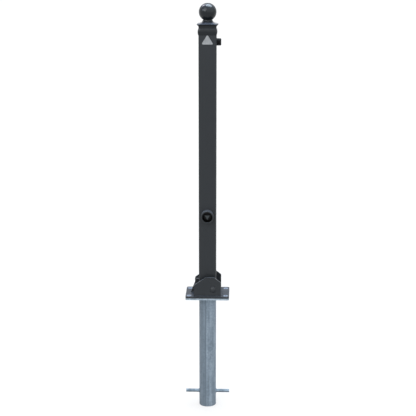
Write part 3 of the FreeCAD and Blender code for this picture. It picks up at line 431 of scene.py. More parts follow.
def make_spangle() -> None:
    """The skin of hot-dip zinc: crystal flakes of uneven grey, clouded, with runs down the length."""
    sheet = GroupSheet(Effect.SPANGLE, ("Shade", "Height"), Place=None, Flake=230.0, Runs=95.0)
    place, flake_scale, run_scale = sheet.given
    warp_scale, warp_reach, drawn_out = 90.0, 0.006, 0.07
    flake_share, cloud_share, run_share, run_height = 0.12, 0.34, 0.74, 0.8
    warp = sheet.add("TexNoise", Vector=place, Scale=warp_scale, Detail=2.0).outputs[1]
    nudged = sheet.maths("MULTIPLY_ADD", warp, (warp_reach,) * 3, place, kind="VectorMath")
    cells = sheet.add("TexVoronoi", Vector=nudged, Scale=flake_scale).outputs["Color"]
    flakes = sheet.times(sheet.add("SeparateColor", Color=cells).outputs[0], flake_share)
    clouds = sheet.noise(place, Noise(42.0, 4.0, 0.6))
    long_place = sheet.maths("MULTIPLY", place, (1.0, 1.0, drawn_out), kind="VectorMath")
    runs = sheet.noise(long_place, Noise(run_scale, 3.0))
    whole = sheet.times(runs, run_share, sheet.times(clouds, cloud_share, flakes))
    sheet.put_out(sheet.ramp(whole, 0.36, 0.88), sheet.times(runs, run_height, flakes))


def make_dust_and_top_light() -> None:
    """Masks: a cloudy dust film that thins with height, and a mottled painted top light on all that faces
    up.
    """
    sheet = GroupSheet(Effect.DUST, ("Film", "Top_Light"), Place=None, Facing=UP, Low=0.012, High=0.10)
    place, facing, low, high = sheet.given
    steep, level = 0.2, 0.8
    lower = sheet.add("MapRange", i0=sheet.split(place)[2], i1=low, i2=high, i3=1.0, i4=0.0).outputs[0]
    # painted top light: lighter on what faces up, as light from above would make it
    lying = sheet.ramp(sheet.split(facing)[2], steep, level)
    clouds = sheet.noise(place, Noise(45.0, 5.0, 0.65, (0.35, 0.8)))
    mottle = sheet.noise(place, Noise(320.0, 4.0, 0.7, (0.25, 0.75, 0.45, 1.0)))
    sheet.put_out(sheet.times(lower, clouds), sheet.times(lying, mottle))


def make_lines() -> None:
    """Fine lines left by a tool: noise drawn out along one axis, as a height and a tone."""
    sheet = GroupSheet(Effect.LINES, ("Height", "Tone"), Place=None, Stretch=(1.0, 1.0, 1.0), Scale=900.0)
    place, stretch, scale = sheet.given
    tone_ends = (0.3, 0.75)
    lines = sheet.noise(sheet.maths("MULTIPLY", place, stretch, kind="VectorMath"), Noise(scale, 3.0))
    sheet.put_out(lines, sheet.ramp(lines, *tone_ends))


@dataclass(frozen=True)
class Skin:
    """What a finish works out for each place: a colour, a pattern for the roughness, a height, and a metal.

    Without a metal of its own the skin has the finish's.
    """

    colour: Socket
    pattern: Socket
    height: Socket
    metal: Socket | None = None


@dataclass(frozen=True, kw_only=True)
class Finish:
    """What all finishes have: the shader's plain values, and how much roughness and height vary.

    The roughness is the middle one plus the swing times (pattern - 0.5).
    """

    name: str
    roughness: float
    ior: float
    metal: float = 0.0
    swing: float = 0.2
    bump: float = 0.2
    depth: float = 0.0002

    def paint(self, sheet: Sheet) -> Skin:
        """Works out the skin, each kind of finish in its own way."""
        raise NotImplementedError

    def build(self) -> None:
        """Makes the material."""
        material = bpy.data.materials.new(self.name)
        sheet = Sheet.of(material)
        skin = self.paint(sheet)
        rough = sheet.times(skin.pattern, self.swing, self.roughness - self.swing / 2)
        bump = sheet.add("Bump", Strength=self.bump, Distance=self.depth, Height=skin.height)
        metal = self.metal if skin.metal is None else skin.metal
        shader = sheet.add("BsdfPrincipled", IOR=self.ior, Base_Color=skin.colour, Metallic=metal,
                           Roughness=rough, Normal=bump.outputs[0])
        sheet.add("OutputMaterial", Surface=shader.outputs[0])


@dataclass(frozen=True, kw_only=True)
class PowderCoat(Finish):
    """Satin anthracite powder coat: orange peel, faint specks, a film of dust near the plate, and a painted
    top light.

    The film roughens the coat by so many swings. The painted top light lightens what faces up, as light from
    above would; above a level, where one is given, it is cut to a share.
    """

    roughness: float = 0.42
    ior: float = 1.38
    swing: float = 0.10
    bump: float = 0.16
    depth: float = 0.0004
    colour: Triple = (0.0155, 0.0188, 0.0226)
    factors: Pair = (0.88, 1.16)
    cloud: Noise = Noise(14.0, 4.0, 0.6)
    specks: float = 0.22
    speck_colour: Triple = (0.06, 0.066, 0.074)
    dust: float = 0.03
    dust_colour: Triple = (0.26, 0.28, 0.30)
    dust_swings: float = 2.0
    top_light: float = 0.85
    top_light_colour: Triple = (0.046, 0.059, 0.083)
    top_light_cut_above: float | None = None
    top_light_cut_share: float = 0.12
    top_light_cut_fade: float = 0.004

    def paint(self, sheet: Sheet) -> Skin:
        """Works out the skin.

        Args:
            sheet: the material's sheet.

        Returns:
            The skin.
        """
        place = sheet.place()
        height, speck = sheet.effect(Effect.PEEL, Place=place)
        film, top_light = sheet.effect(Effect.DUST, Place=place, Facing=sheet.place("Normal"))
        if self.top_light_cut_above is not None:
            fade_end = self.top_light_cut_above + self.top_light_cut_fade
            kept = sheet.ramp(sheet.split(place)[2], self.top_light_cut_above, fade_end, 1.0, self.top_light_cut_share)
            top_light = sheet.times(top_light, kept)
        cloud = sheet.noise(place, self.cloud)
        colour = sheet.tones(cloud, self.colour, self.factors)
        colour = sheet.coat(colour, speck, self.specks, self.speck_colour)
        colour = sheet.coat(colour, film, self.dust, self.dust_colour)
        # painted top light: a lighter colour laid on what faces up
        colour = sheet.coat(colour, top_light, self.top_light, self.top_light_colour)
        return Skin(colour, sheet.times(film, self.dust_swings, cloud), height)


@dataclass(frozen=True, kw_only=True)
class HotDipZinc(Finish):
    """Hot-dip galvanised steel: dull flakes, clouds, runs, white bloom, pits and a painted shade on the
    underside.

    The seam's turn, width and fade are degrees about the tube, and its line runs two widths to its left.
    """

    dark: Triple
    light: Triple
    roughness: float = 0.5
    ior: float = 1.45
    metal: float = 0.5
    swing: float = -0.14
    bump: float = 0.25
    depth: float = 0.0006
    flake: float = 230.0
    bloom: Noise = Noise(120.0, 5.0, 0.7, (0.60, 0.74))
    bloom_share: float = 0.16
    bloom_colour: Triple = (0.72, 0.74, 0.76)
    pit: Noise = Noise(240.0, 3.0, 0.6, (0.60, 0.68))
    pits: float = 0.0
    pit_tone: float = 0.42
    below: Pair = (-0.7, 0.5)
    dull_below: float = 0.0
    seam_turn: float | None = None
    seam_width: float = 2.4
    seam_fade: float = 75.0
    seam_line: Pair = (0.6, 1.8)
    line_share: float = 0.30
    shade_field_share: float = 0.58
    shade_field_tone: float = 0.80

    def seam(self, sheet: Sheet, place: Socket, colour: Socket) -> Socket:
        """A welded tube's seam as a fine dark line down the tube, and a painted shade over the part on its
        left.

        The turn about the Z axis is atan2(x, -y), so that it is zero at the front and grows to the right.

        Args:
            sheet: the material's sheet.
            place: the piece's own coordinates.
            colour: the zinc's colour without the seam.

        Returns:
            The colour with the seam.
        """
        x, y, _ = sheet.split(place)
        turn = sheet.maths("ARCTAN2", x, sheet.times(y, -1.0))
        middle, width, fade = np.radians([self.seam_turn, self.seam_width, self.seam_fade]).tolist()
        left_of = sheet.ramp(turn, middle - width, middle + width, 1.0, 0.0)
        # painted shade: the tube's left side darker, as if turned from the light
        shade_field = sheet.times(sheet.ramp(turn, middle - 2 * fade, middle - fade), left_of)
        away = sheet.maths("ABSOLUTE", sheet.maths("SUBTRACT", turn, middle - 2 * width))
        line = sheet.ramp(away, width * self.seam_line[0], width * self.seam_line[1], 1.0, 0.0)
        share = sheet.times(line, self.line_share, sheet.times(shade_field, self.shade_field_share))
        return sheet.blend(share, colour, shade(self.dark, self.shade_field_tone))

    def paint(self, sheet: Sheet) -> Skin:
        """Works out the skin.

        Args:
            sheet: the material's sheet.

        Returns:
            The skin.
        """
        place = sheet.place()
        tone, height = sheet.effect(Effect.SPANGLE, Place=place, Flake=self.flake)
        colour = sheet.blend(tone, shade(self.dark), shade(self.light))
        colour = sheet.coat(colour, sheet.noise(place, self.bloom), self.bloom_share, self.bloom_colour)
        deep = shade(self.dark, self.pit_tone)
        colour = sheet.blend(sheet.times(sheet.noise(place, self.pit), self.pits), colour, deep)
        # painted shade: what faces down is darkened, as in the shade beneath it
        upward = sheet.split(sheet.place("Normal"))[2]
        colour = sheet.blend(sheet.ramp(upward, *self.below, self.dull_below, 0.0), colour, deep)
        if self.seam_turn is not None:
            colour = self.seam(sheet, place, colour)
        return Skin(colour, tone, height)


@dataclass(frozen=True, kw_only=True)
class ToolMetal(Finish):
    """Bare or plated metal with fine tool lines and a clouded tone."""

    colour: Triple
    ior: float = 1.5
    metal: float = 1.0
    swing: float = 0.22
    bump: float = 0.12
    factors: Pair = (0.72, 1.12)
    stretch: Triple = (1.0, 1.0, 1.0)
    scale: float = 900.0
    line_share: float = 0.5
    cloud_share: float = 0.6
    cloud: Noise = Noise(180.0, 4.0, 0.6)

    def paint(self, sheet: Sheet) -> Skin:
        """Works out the skin.

        Args:
            sheet: the material's sheet.

        Returns:
            The skin.
        """
        place = sheet.place()
        height, tone = sheet.effect(Effect.LINES, Place=place, Stretch=self.stretch, Scale=self.scale)
        cloud = sheet.noise(place, self.cloud)
        share = sheet.times(tone, self.line_share, sheet.times(cloud, self.cloud_share))
        return Skin(sheet.tones(share, self.colour, self.factors), cloud, height)


@dataclass(frozen=True, kw_only=True)
class StudWithPaintedShade(Finish):
    """The key stud's cast metal: grey mid-face, near black at its edges, in painted shade deep in the
    socket.

    The place across the face is the greatest of z and 0.87 |x| - 0.5 z about the stud's axis, which is the
    same along each of the triangle's three sides. Across the reach the edges darken, and across the given
    depths in the socket the painted shade begins.
    """

    roughness: float = 0.46
    ior: float = 1.25
    metal: float = 0.25
    bump: float = 0.15
    face: Triple = (0.055, 0.064, 0.068)
    factors: Pair = (0.75, 1.3)
    # near black, for the darker edges and for the painted shade in the socket
    deep: Triple = (0.008, 0.008, 0.009)
    cloud: Noise = Noise(320.0, 4.0, 0.6)
    scale: float = 1500.0
    level: float = 0.297
    reach: Pair = (0.0042, 0.0055)
    socket_shade_depths: Pair = (-0.0338, -0.0326)

    def paint(self, sheet: Sheet) -> Skin:
        """Works out the skin.

        Args:
            sheet: the material's sheet.

        Returns:
            The skin.
        """
        place = sheet.place()
        height = sheet.effect(Effect.LINES, Place=place, Scale=self.scale)[0]
        cloud = sheet.noise(place, self.cloud)
        x, y, z = sheet.split(place)
        rise = sheet.maths("SUBTRACT", z, self.level)
        lean = sheet.times(sheet.maths("ABSOLUTE", x), math.sqrt(0.75), sheet.times(rise, -0.5))
        edge = sheet.ramp(sheet.maths("MAXIMUM", rise, lean), *self.reach)
        # painted shade where the stud lies deep in the socket, and darker edges on its end face
        dark_edge_and_shade = sheet.maths("MAXIMUM", sheet.ramp(y, *self.socket_shade_depths), edge)
        colour = sheet.blend(dark_edge_and_shade, sheet.tones(cloud, self.face, self.factors), shade(self.deep))
        return Skin(colour, cloud, height, metal=sheet.times(dark_edge_and_shade, -self.metal, self.metal))


@dataclass(frozen=True, kw_only=True)
class DarkMoulding(Finish):
    """Moulded rubber or plastic: dark, fine-grained, with a dull bloom."""

    colour: Triple
    swing: float = 0.15
    swell: float = 900.0
    grain: float = 4200.0
    cloud: Noise = Noise(260.0, 5.0, 0.7, (0.4, 0.75))
    bloom: float = 0.10
    bloom_lift: float = 0.05

    def paint(self, sheet: Sheet) -> Skin:
        """Works out the skin.

        Args:
            sheet: the material's sheet.

        Returns:
            The skin.
        """
        place = sheet.place()
        height = sheet.effect(Effect.PEEL, Place=place, Swell=self.swell, Grain=self.grain)[0]
        cloud = sheet.noise(place, self.cloud)
        pale = shade(tuple(part + self.bloom_lift for part in self.colour))
        return Skin(sheet.blend(sheet.times(cloud, self.bloom), shade(self.colour), pale), cloud, height)


class Look(Enum):
    """Every finish of the post. A record slot has the one of its own name, unless NODE_LOOK says another."""

    POWDER = PowderCoat(name="powder_coat_satin")
    # The casting's painted top light is cut above the ball's neck, so the ball's top stays dark.
    CAST_PAINT = PowderCoat(
        name="powder_coat_on_casting", colour=(0.0085, 0.0112, 0.0140), roughness=0.2, ior=1.33, bump=0.22,
        dust=0.0, top_light_colour=(0.08, 0.092, 0.122), top_light_cut_above=0.9555,
    )
    # Only a little painted top light on the bolt's head.
    BOLT_PAINT = PowderCoat(name="powder_coat_on_bolt", roughness=0.36, top_light=0.12)
    # The strongest painted top light: lighter tops and rims on the collar, the cheeks and the rib.
    DUSTED_PAINT = PowderCoat(name="powder_coat_top_lit", top_light=1.0, top_light_colour=(0.10, 0.115, 0.145))
    GALVANISED = HotDipZinc(name="hot_dip_zinc", dark=(0.24, 0.30, 0.35), light=(0.42, 0.50, 0.58))
    # The tube's seam line has painted shade over the part on its left.
    HOT_DIP_TUBE = HotDipZinc(
        name="hot_dip_zinc_tube", dark=(0.15, 0.195, 0.24), light=(0.31, 0.38, 0.455), pits=0.5,
        seam_turn=-7.0,
    )
    # The bar's underside is darkened by painted shade.
    HOT_DIP_BAR = HotDipZinc(
        name="hot_dip_zinc_bar", dark=(0.15, 0.21, 0.27), light=(0.38, 0.49, 0.60), metal=0.2, flake=320.0,
        dull_below=0.85,
    )
    ZINC = ToolMetal(name="bright_zinc", colour=(0.31, 0.40, 0.55), roughness=0.34)
    STEEL = ToolMetal(name="bare_steel_turned", colour=(0.42, 0.42, 0.43), roughness=0.36)
    BRONZE = ToolMetal(name="sintered_bronze", colour=(0.55, 0.38, 0.20), roughness=0.45, scale=1800.0)
    CAST_ZINC = StudWithPaintedShade(name="stud_with_painted_shade")
    PLATE = ToolMetal(
        name="bare_silver_plate", colour=(0.30, 0.315, 0.33), roughness=0.36, stretch=(1.0, 1.0, 0.06),
    )
    RUBBER = DarkMoulding(name="moulded_rubber", colour=(0.0035, 0.0035, 0.004), roughness=0.665, ior=1.22)
    PLASTIC = DarkMoulding(
        name="moulded_plastic", colour=(0.002, 0.002, 0.0025), roughness=0.505, ior=1.16, bloom=0.05,
    )

    @property
    def material(self) -> Material:
        """The finish's material, once it is made."""
        return bpy.data.materials[self.value.name]


NODE_LOOK = {
    "ground_tube": Look.HOT_DIP_TUBE,
    "anchor_bar": Look.HOT_DIP_BAR,
    # The collar, cheeks and rib wear the strongest painted top light.
    **dict.fromkeys(("lock_collar", "front_cheek", "rear_cheek", "stop_rib"), Look.DUSTED_PAINT),
}


def make_finishes() -> None:
    """Makes the shared effects and then each material."""
    for make in (make_peel, make_spangle, make_dust_and_top_light, make_lines):
        make()
    for look in Look:
        look.value.build()


def dress_nodes(frame: dict) -> None:
    """Gives each of the frame's nodes its own finish, or else the finish of its record slot.
    """
    for row in frame["record"]["subparts"]:
        node = frame["nodes"][row["node"]]
        material = NODE_LOOK.get(row["node"], Look[Slot(row["material_slot"]).name]).material
        if not node.material_slots:
            node.data.materials.append(material)
        for slot in node.material_slots:
            slot.material = material
        LOG.info("%s wears %s", row["node"], material.name)


@dataclass(frozen=True)
class Bead:
    """A weld bead: a rounded fillet with ripples, carried along a path.

    At way s the half size is the leg times (1 + ripple sin(2 pi s / pitch)) times a slow drift, and it fades
    to a point over the taper's share of the leg at an open path's ends.
    """

    leg: float
    pitch: float
    ripple: float
    around: int
    a_ripple: int = 6
    fewest: int = 12
    drift: Pair = (0.9, 1.1)
    knots: int = 9
    taper: float = 1.2
    tip: float = 0.0004

    def surface(self, path: np.ndarray, seed: int, closed: bool = False, guide: Triple = UP) -> Surface:
        """Carries the bead along a path.

        Args:
            path: points of the path.
            seed: the start of the drift's random draws.
            closed: whether the path's end joins its start.
            guide: a direction that the path never takes, such as the axis of a ring.

        Returns:
            The bead's skin.
        """
        loop = np.vstack([path, path[:1]]) if closed else path
        steps = np.linalg.norm(np.diff(loop, axis=0), axis=1)
        way = np.concatenate([[0], np.cumsum(steps)])
        length = way[-1]
        count = max(self.fewest, int(length / self.pitch * self.a_ripple))
        places = np.linspace(0, length, count, endpoint=not closed)
        points = np.stack([np.interp(places, way, loop[:, axis]) for axis in range(3)], -1)
        if closed:
            ahead = np.roll(points, -1, 0) - np.roll(points, 1, 0)
        else:
            ahead = np.gradient(points, axis=0)
        side = np.cross(ahead, guide)
        rise = np.cross(side, ahead)
        side, rise = (line / np.linalg.norm(line, axis=1, keepdims=True) for line in (side, rise))
        draws = np.random.default_rng(seed).uniform(*self.drift, self.knots)
        drift = np.interp(places, np.linspace(0, length, self.knots), draws)
        turns = length / self.pitch
        if closed:
            drift = 1 + (drift - 1) * np.sin(np.pi * places / length)
            turns = round(turns)
        size = self.leg * drift * (1 + self.ripple * np.sin(FULL_TURN * turns * places / length))
        if not closed:
            near = np.minimum(places, length - places) / (self.leg * self.taper)
            size *= np.sqrt(np.clip(near * (2 - np.clip(near, 0, 1)), self.tip, 1))
        angle = np.linspace(0, FULL_TURN, self.around, endpoint=False)[None, :, None]
        grid = points[:, None] + size[:, None, None] * (side[:, None] * np.cos(angle)
                                                        + rise[:, None] * np.sin(angle))
        return Surface.ring(grid) if closed else Surface.tube(grid)


@dataclass
class GroundSocket:
    """The galvanised tube, its flange and its anchor bar."""

    tube_radius: float = 30.15
    tube_foot: float = -415.0
    bar_level: float = -365.0
    bar_radius: float = 6.0
    flange_bead: Bead = Bead(2.6, 2.4, 0.08, 12)
    flange_bead_out: float = 0.5
    flange_bead_level: float = -0.6
    flange_seed: int = 3
    bar_bead: Bead = Bead(1.3, 2.0, 0.1, 10)
    bar_bead_out: float = 0.6
    bar_bead_stand: float = 0.3
    bar_seed: int = 11
    drops: int = 9
    drop_seed: int = 7
    drop_top: float = 4.6
    drop_widths: Pair = (1.2, 2.0)
    drop_lengths: Pair = (3.5, 4.4)
    drop_sink: float = 0.35
    drop_flat: float = 0.55
    long_runs: tuple[tuple[float, ...], ...] = (
        (math.pi + 0.16, -7.0, 1.7, 9.0), (0.1, -7.5, 1.3, 6.5), (math.pi + 0.42, 35.0, 2.3, 28.0),
    )

    def build(self) -> None:
        """Adds the welds and the zinc's runs."""
        middle, reach = (0, 0, self.flange_bead_level), self.tube_radius + self.flange_bead_out
        ring = spin(reach, 0, middle, Axis.Z, steps=180)
        weld = self.flange_bead.surface(ring, self.flange_seed, closed=True)
        make_piece("flange_weld", weld, Body.BASE, Look.GALVANISED)
        for side, label in ((-1, "left"), (1, "right")):
            make_piece("anchor_weld_" + label, self.bar_weld(side), Body.BASE,
                       Look.HOT_DIP_BAR)
        make_piece("zinc_runs", self.runs(), Body.BASE, Look.HOT_DIP_TUBE)

    def bar_weld(self, side: int) -> Surface:
        """The bead where the bar leaves the tube: a ring on the bar, bent to the tube's round wall.

        Its path is a circle about the bar, with x the wall's sqrt(radius^2 - y^2) and a little more.

        Args:
            side: -1 for the left end and 1 for the right one.

        Returns:
            The bead's skin.
        """
        path = spin(self.bar_radius + self.bar_bead_out, 0, (0, 0, self.bar_level), Axis.X, steps=72)
        path[:, 0] = side * (np.sqrt(self.tube_radius**2 - path[:, 1] ** 2) + self.bar_bead_stand)
        return self.bar_bead.surface(path, self.bar_seed + side, closed=True, guide=(1, 0, 0))

    def runs(self) -> Surface:
        """Drops of zinc that froze at the tube's lower rim, below the bar and on the tube's left.

        Each is a teardrop of rings hung along Z, from t 0 above to t 1 below. A ring's radius is the drop's
        width times sqrt(sin(pi t)) times (0.55 + 0.45 t), and the drop is flattened against the wall.

        Returns:
            All the drops.
        """
        rings, around, end, least = 14, 12, 0.001, 0.55
        rng = np.random.default_rng(self.drop_seed)
        rim = self.tube_foot + self.drop_top
        spots = [(turn, rim, rng.uniform(*self.drop_widths), rng.uniform(*self.drop_lengths))
                 for turn in rng.uniform(0, FULL_TURN, self.drops)]
        spots += [(turn, self.bar_level + top, *sizes) for turn, top, *sizes in self.long_runs]
        share = np.linspace(0, 1, rings)[:, None]
        swell = np.sqrt(np.sin(np.pi * np.clip(share, end, 1 - end))) * (least + (1 - least) * share)
        angle = np.linspace(0, FULL_TURN, around, endpoint=False)
        made = Surface(np.empty((0, 3)), [])
        for turn, top, width, length in spots:
            across = width * swell * np.cos(angle)
            stand = width * swell * np.sin(angle) * self.drop_flat + self.tube_radius - self.drop_sink
            x = stand * math.cos(turn) - across * math.sin(turn)
            y = stand * math.sin(turn) + across * math.cos(turn)
            z = np.broadcast_to(top - length * share, x.shape)
            made = made.joined(Surface.tube(np.stack([x, y, z], -1)))
        return made


@dataclass
class HingeBracket:
    """The painted plate with its cheeks, stop rib, screws and pivot bolt."""

    plate_top: float = 12.0
    cheek_reach: float = 47.0
    cheek_inner: float = 45.0
    cheek_outer: float = 51.0
    cheek_bead: Bead = Bead(2.6, 2.2, 0.07, 12)
    cheek_bead_short: float = 1.5
    cheek_bead_out: float = 0.4
    cheek_seed: int = 20
    rib_half: float = 4.0
    rib_foot: float = -59.5
    rib_face: float = -35.3
    rib_bead: Bead = Bead(2.0, 2.2, 0.07, 12)
    rib_bead_short: float = 1.0
    rib_bead_out: float = 0.3
    rib_seed: int = 30
    pivot: Triple = (20.0, 0.0, 37.0)
    bolt_radius: float = 5.0
    head_radius: float = 10.5
    head_height: float = 6.0
    head_rim: float = 1.2
    washer: float = 2.0
    nut_flats: float = 16.0
    nut_height: float = 9.5
    tail: float = 2.5
    thread_pitch: float = 1.5
    thread_depth: float = 0.45

    def build(self) -> None:
        """Adds the welds, the bolt and its nut."""
        self.cheek_welds()
        self.rib_welds()
        bolt = make_piece("pivot_bolt_turned", self.bolt(), Body.BASE, Look.BOLT_PAINT,
                          sharp=50)
        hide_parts("pivot_bolt")
        nut = make_piece("pivot_nut_turned", self.nut(), Body.BASE, Look.ZINC, sharp=25)
        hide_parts("pivot_nut")

    def cheek_welds(self) -> None:
        """Adds a bead along each cheek's outer and inner foot."""
        reach, out = self.cheek_reach - self.cheek_bead_short, self.cheek_bead_out
        level = self.plate_top + out
        faces = (("outer", self.cheek_outer + out), ("inner", self.cheek_inner - out))
        rows = [(f"{end}_{label}", side * deep)
                for side, end in ((-1, "front"), (1, "rear")) for label, deep in faces]
        for seed, (label, deep) in enumerate(rows, self.cheek_seed):
            path = np.array([(-reach, deep, level), (reach, deep, level)])
            bead = self.cheek_bead.surface(path, seed)
            make_piece("cheek_weld_" + label, bead, Body.BASE, Look.POWDER)

    def rib_welds(self) -> None:
        """Adds a bead along both sides of the stop rib's foot."""
        level = self.plate_top + self.rib_bead_out
        start, end = self.rib_foot + self.rib_bead_short, self.rib_face - self.rib_bead_short
        for side, label in ((-1, "front"), (1, "rear")):
            deep = side * (self.rib_half + self.rib_bead_out)
            path = np.array([(start, deep, level), (end, deep, level)])
            bead = self.rib_bead.surface(path, self.rib_seed + side)
            make_piece("rib_weld_" + label, bead, Body.BASE, Look.POWDER)

    def bolt(self) -> Surface:
        """The pivot bolt: domed head, plain shank and a threaded end.

        The radius is the profile's, and over the threaded end it loses the thread's depth, a share of its
        pitch, times a triangle wave of height / pitch - angle / 2 pi.

        Returns:
            The bolt's skin.
        """
        steps, per_pitch, dome_rings, tip, edge, foot = 64, 12, 22, 0.02, 0.15, 0.4
        plain, first, fade_start, fade, chamfer = 0.5, 0.1, 0.2, 0.6, 1.0
        radius, head, face = self.bolt_radius, self.head_radius, -self.cheek_outer
        start = self.cheek_outer + self.washer + plain
        end = self.cheek_outer + self.washer + self.nut_height + self.tail
        rise = self.head_height - self.head_rim
        ball = (head**2 + rise**2) / (2 * rise)
        lean = np.linspace(tip, math.asin(head / ball), dome_rings)
        dome = np.stack([ball * np.sin(lean), face - self.head_height + ball * (1 - np.cos(lean))], -1)
        middle = [(head - edge, face - edge), (head - foot, face), (radius, face), (radius, start)]
        along = np.arange(start + first, end - tip, self.thread_pitch / per_pitch)
        threaded = np.stack([radius - np.clip(chamfer - (end - along), 0, chamfer), along], -1)
        profile = np.vstack([dome, middle, threaded])
        rings, height = profile[:, :1], profile[:, 1:]
        phase = height / self.thread_pitch - np.linspace(0, 1, steps, endpoint=False)
        wave = np.abs(phase % 1.0 * 2 - 1)
        fade_in = np.clip((height - start - fade_start) / fade, 0, 1)
        loss = self.thread_depth * self.thread_pitch * wave * fade_in
        return Surface.tube(spin(rings - loss, height, self.pivot, Axis.Y, steps))

    def nut(self) -> Surface:
        """The nut: six flats with both faces turned down at the corners.

        At each height the outer radius is the lesser of the hexagon's, which is half the flats' width /
        cos(angle from the flat), and that of a cone which starts near the flats' radius at each face and
        rises at 60 degrees.

        Returns:
            The nut's skin.
        """
        steps, half, tall = 96, self.nut_flats / 2, self.nut_height
        sixth, edge, inner, rows, cone_start = math.pi / 3, 0.8, 1.2, 6, 0.985
        room, lip_width, lip_depth = 0.06, 0.7, 0.6
        from_flat = (np.linspace(0, FULL_TURN, steps, endpoint=False) + sixth / 2) % sixth - sixth / 2
        spans = ((0, edge), (inner, tall - inner), (tall - edge, tall))
        heights = np.concatenate([np.linspace(*span, rows) for span in spans])
        cone = half * cone_start + np.minimum(heights, tall - heights) * math.tan(sixth)
        outer = np.minimum(half / np.cos(from_flat), cone[:, None])
        bore = self.bolt_radius + room
        lip = np.full(steps, bore + lip_width)
        radius = np.vstack([lip, outer, lip, np.full((2, steps), bore)])
        ends = [tall, tall - lip_depth, lip_depth]
        height = np.concatenate([[0], heights, ends]) + self.cheek_outer + self.washer
        return Surface.ring(spin(radius, height[:, None], self.pivot, Axis.Y, steps))


@dataclass
class PostColumn:
    """The square post with its cap, bare plate and buffer.

    The plate's rows give, ring by ring, the way in from its outline and the lift from the post.
    """

    half: float = 30.0
    plate_level: float = 896.5
    plate_side: float = 40.0
    plate_flat: float = 0.935
    plate_round: float = 3.0
    plate_rows: tuple[Pair, ...] = (
        (0.0, 0.0), (0.0, 0.55), (0.12, 0.8), (0.35, 0.9), (1.1, 0.9), (1.5, 0.78), (1.9, 0.7), (6.0, 0.7),
    )
    buffer_level: float = 892.0
    buffer_radius: float = 12.5
    buffer_length: float = 15.5
    buffer_rounding: float = 0.7

    def build(self) -> None:
        """Adds the bare plate and the buffer."""
        make_piece("bare_plate", self.bare_plate(), Body.POST, Look.PLATE, sharp=30)
        buffer = make_piece("buffer_moulded", self.buffer(), Body.POST, Look.RUBBER, sharp=45)
        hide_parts("rubber_buffer")

    def bare_plate(self) -> Surface:
        """A thin three-cornered plate with round corners, dished a little inside its rim.

        Its outline is the triangle moved in by the corner radius, with an arc of that radius about each
        corner, and a little flattened. Each ring of the skin is that outline times 1 - way in / the circle
        that fits in the triangle, and lifted.

        Returns:
            The plate's skin.
        """
        way = np.array([[90], [210], [330]])
        arc = np.radians(way + np.linspace(-60, 60, 13))
        way, reach = np.radians(way), self.plate_side / math.sqrt(3) - 2 * self.plate_round
        across = (reach * np.cos(way) + self.plate_round * np.cos(arc)).ravel()
        up = (reach * np.sin(way) + self.plate_round * np.sin(arc)).ravel() * self.plate_flat
        rows = np.array(self.plate_rows)
        share = 1 - rows[:, :1] / (self.plate_side / (2 * math.sqrt(3)))
        deep = np.broadcast_to(-(self.half + rows[:, 1:]), (len(rows), len(up)))
        return Surface.tube(np.stack([across * share, deep, self.plate_level + up * share], -1))

    def buffer(self) -> Surface:
        """The buffer: a moulded cylinder with a foot rim, a parting line and a shallow hollow in its end.

        Its skin is the rounded profile spun about the X axis.

        Returns:
            The buffer's skin.
        """
        radius, length = self.buffer_radius, self.buffer_length
        corners = [
            (10.6, 0.0), (radius, 0.0), (radius, 1.8), (radius - 0.5, 2.3), (radius - 0.5, 7.4),
            (radius - 0.15, 7.7), (radius - 0.5, 8.0), (radius - 0.7, length - 1.2), (radius - 2.2, length),
            (5.0, length), (3.4, length - 1.4), (0.2, length - 1.6),
        ]
        profile = smooth_profile(corners, self.buffer_rounding)
        centre = (self.half, 0, self.buffer_level)
        return Surface.tube(spin(profile[:, :1], profile[:, 1:], centre, Axis.X, steps=72))


@dataclass
class KeyLock:
    """The collar on the front with its three-sided stud."""

    level: float = 297.0
    collar_radius: float = 22.0
    front_face: float = -30.0
    bead: Bead = Bead(1.1, 1.6, 0.05, 10)
    bead_out: float = 0.2
    bead_seed: int = 41

    def build(self) -> None:
        """Adds the fine bead between the collar and the post."""
        middle = (0, self.front_face, self.level)
        ring = spin(self.collar_radius + self.bead_out, 0, middle, Axis.Y, steps=140)
        bead = self.bead.surface(ring, self.bead_seed, closed=True, guide=(0, 1, 0))
        make_piece("collar_weld", bead, Body.POST, Look.DUSTED_PAINT)


@dataclass(frozen=True)
class SoftLamp:
    """A soft lamp: where its light comes from, its power and its colour.

    With two sides it hangs at its place about the ball's middle, looks at it and is turned, in degrees,
    about its own axis. Without them it is very distant and as wide as its spread, in degrees.
    """

    name: str
    source: Triple
    power: float
    colour: Triple = WHITE
    spread: float = 0.0
    sides: Pair | None = None
    turn: float = 0.0
    ball: Triple = (0.0, 0.0, 0.991)

    def build(self) -> None:
        """Adds the lamp to the scene."""
        light = bpy.data.lights.new(self.name, "AREA" if self.sides else "SUN")
        light.energy, light.color = self.power, self.colour
        if self.sides:
            light.shape = "RECTANGLE"
            light.size, light.size_y = self.sides
        else:
            light.angle = math.radians(self.spread)
        lamp = add_object(self.name, light)
        lamp.location = Vector(self.ball) + Vector(self.source)
        aimed = Vector(self.source).to_track_quat("Z", "Y")
        lamp.rotation_euler = (aimed @ Quaternion(UP, math.radians(self.turn))).to_euler()


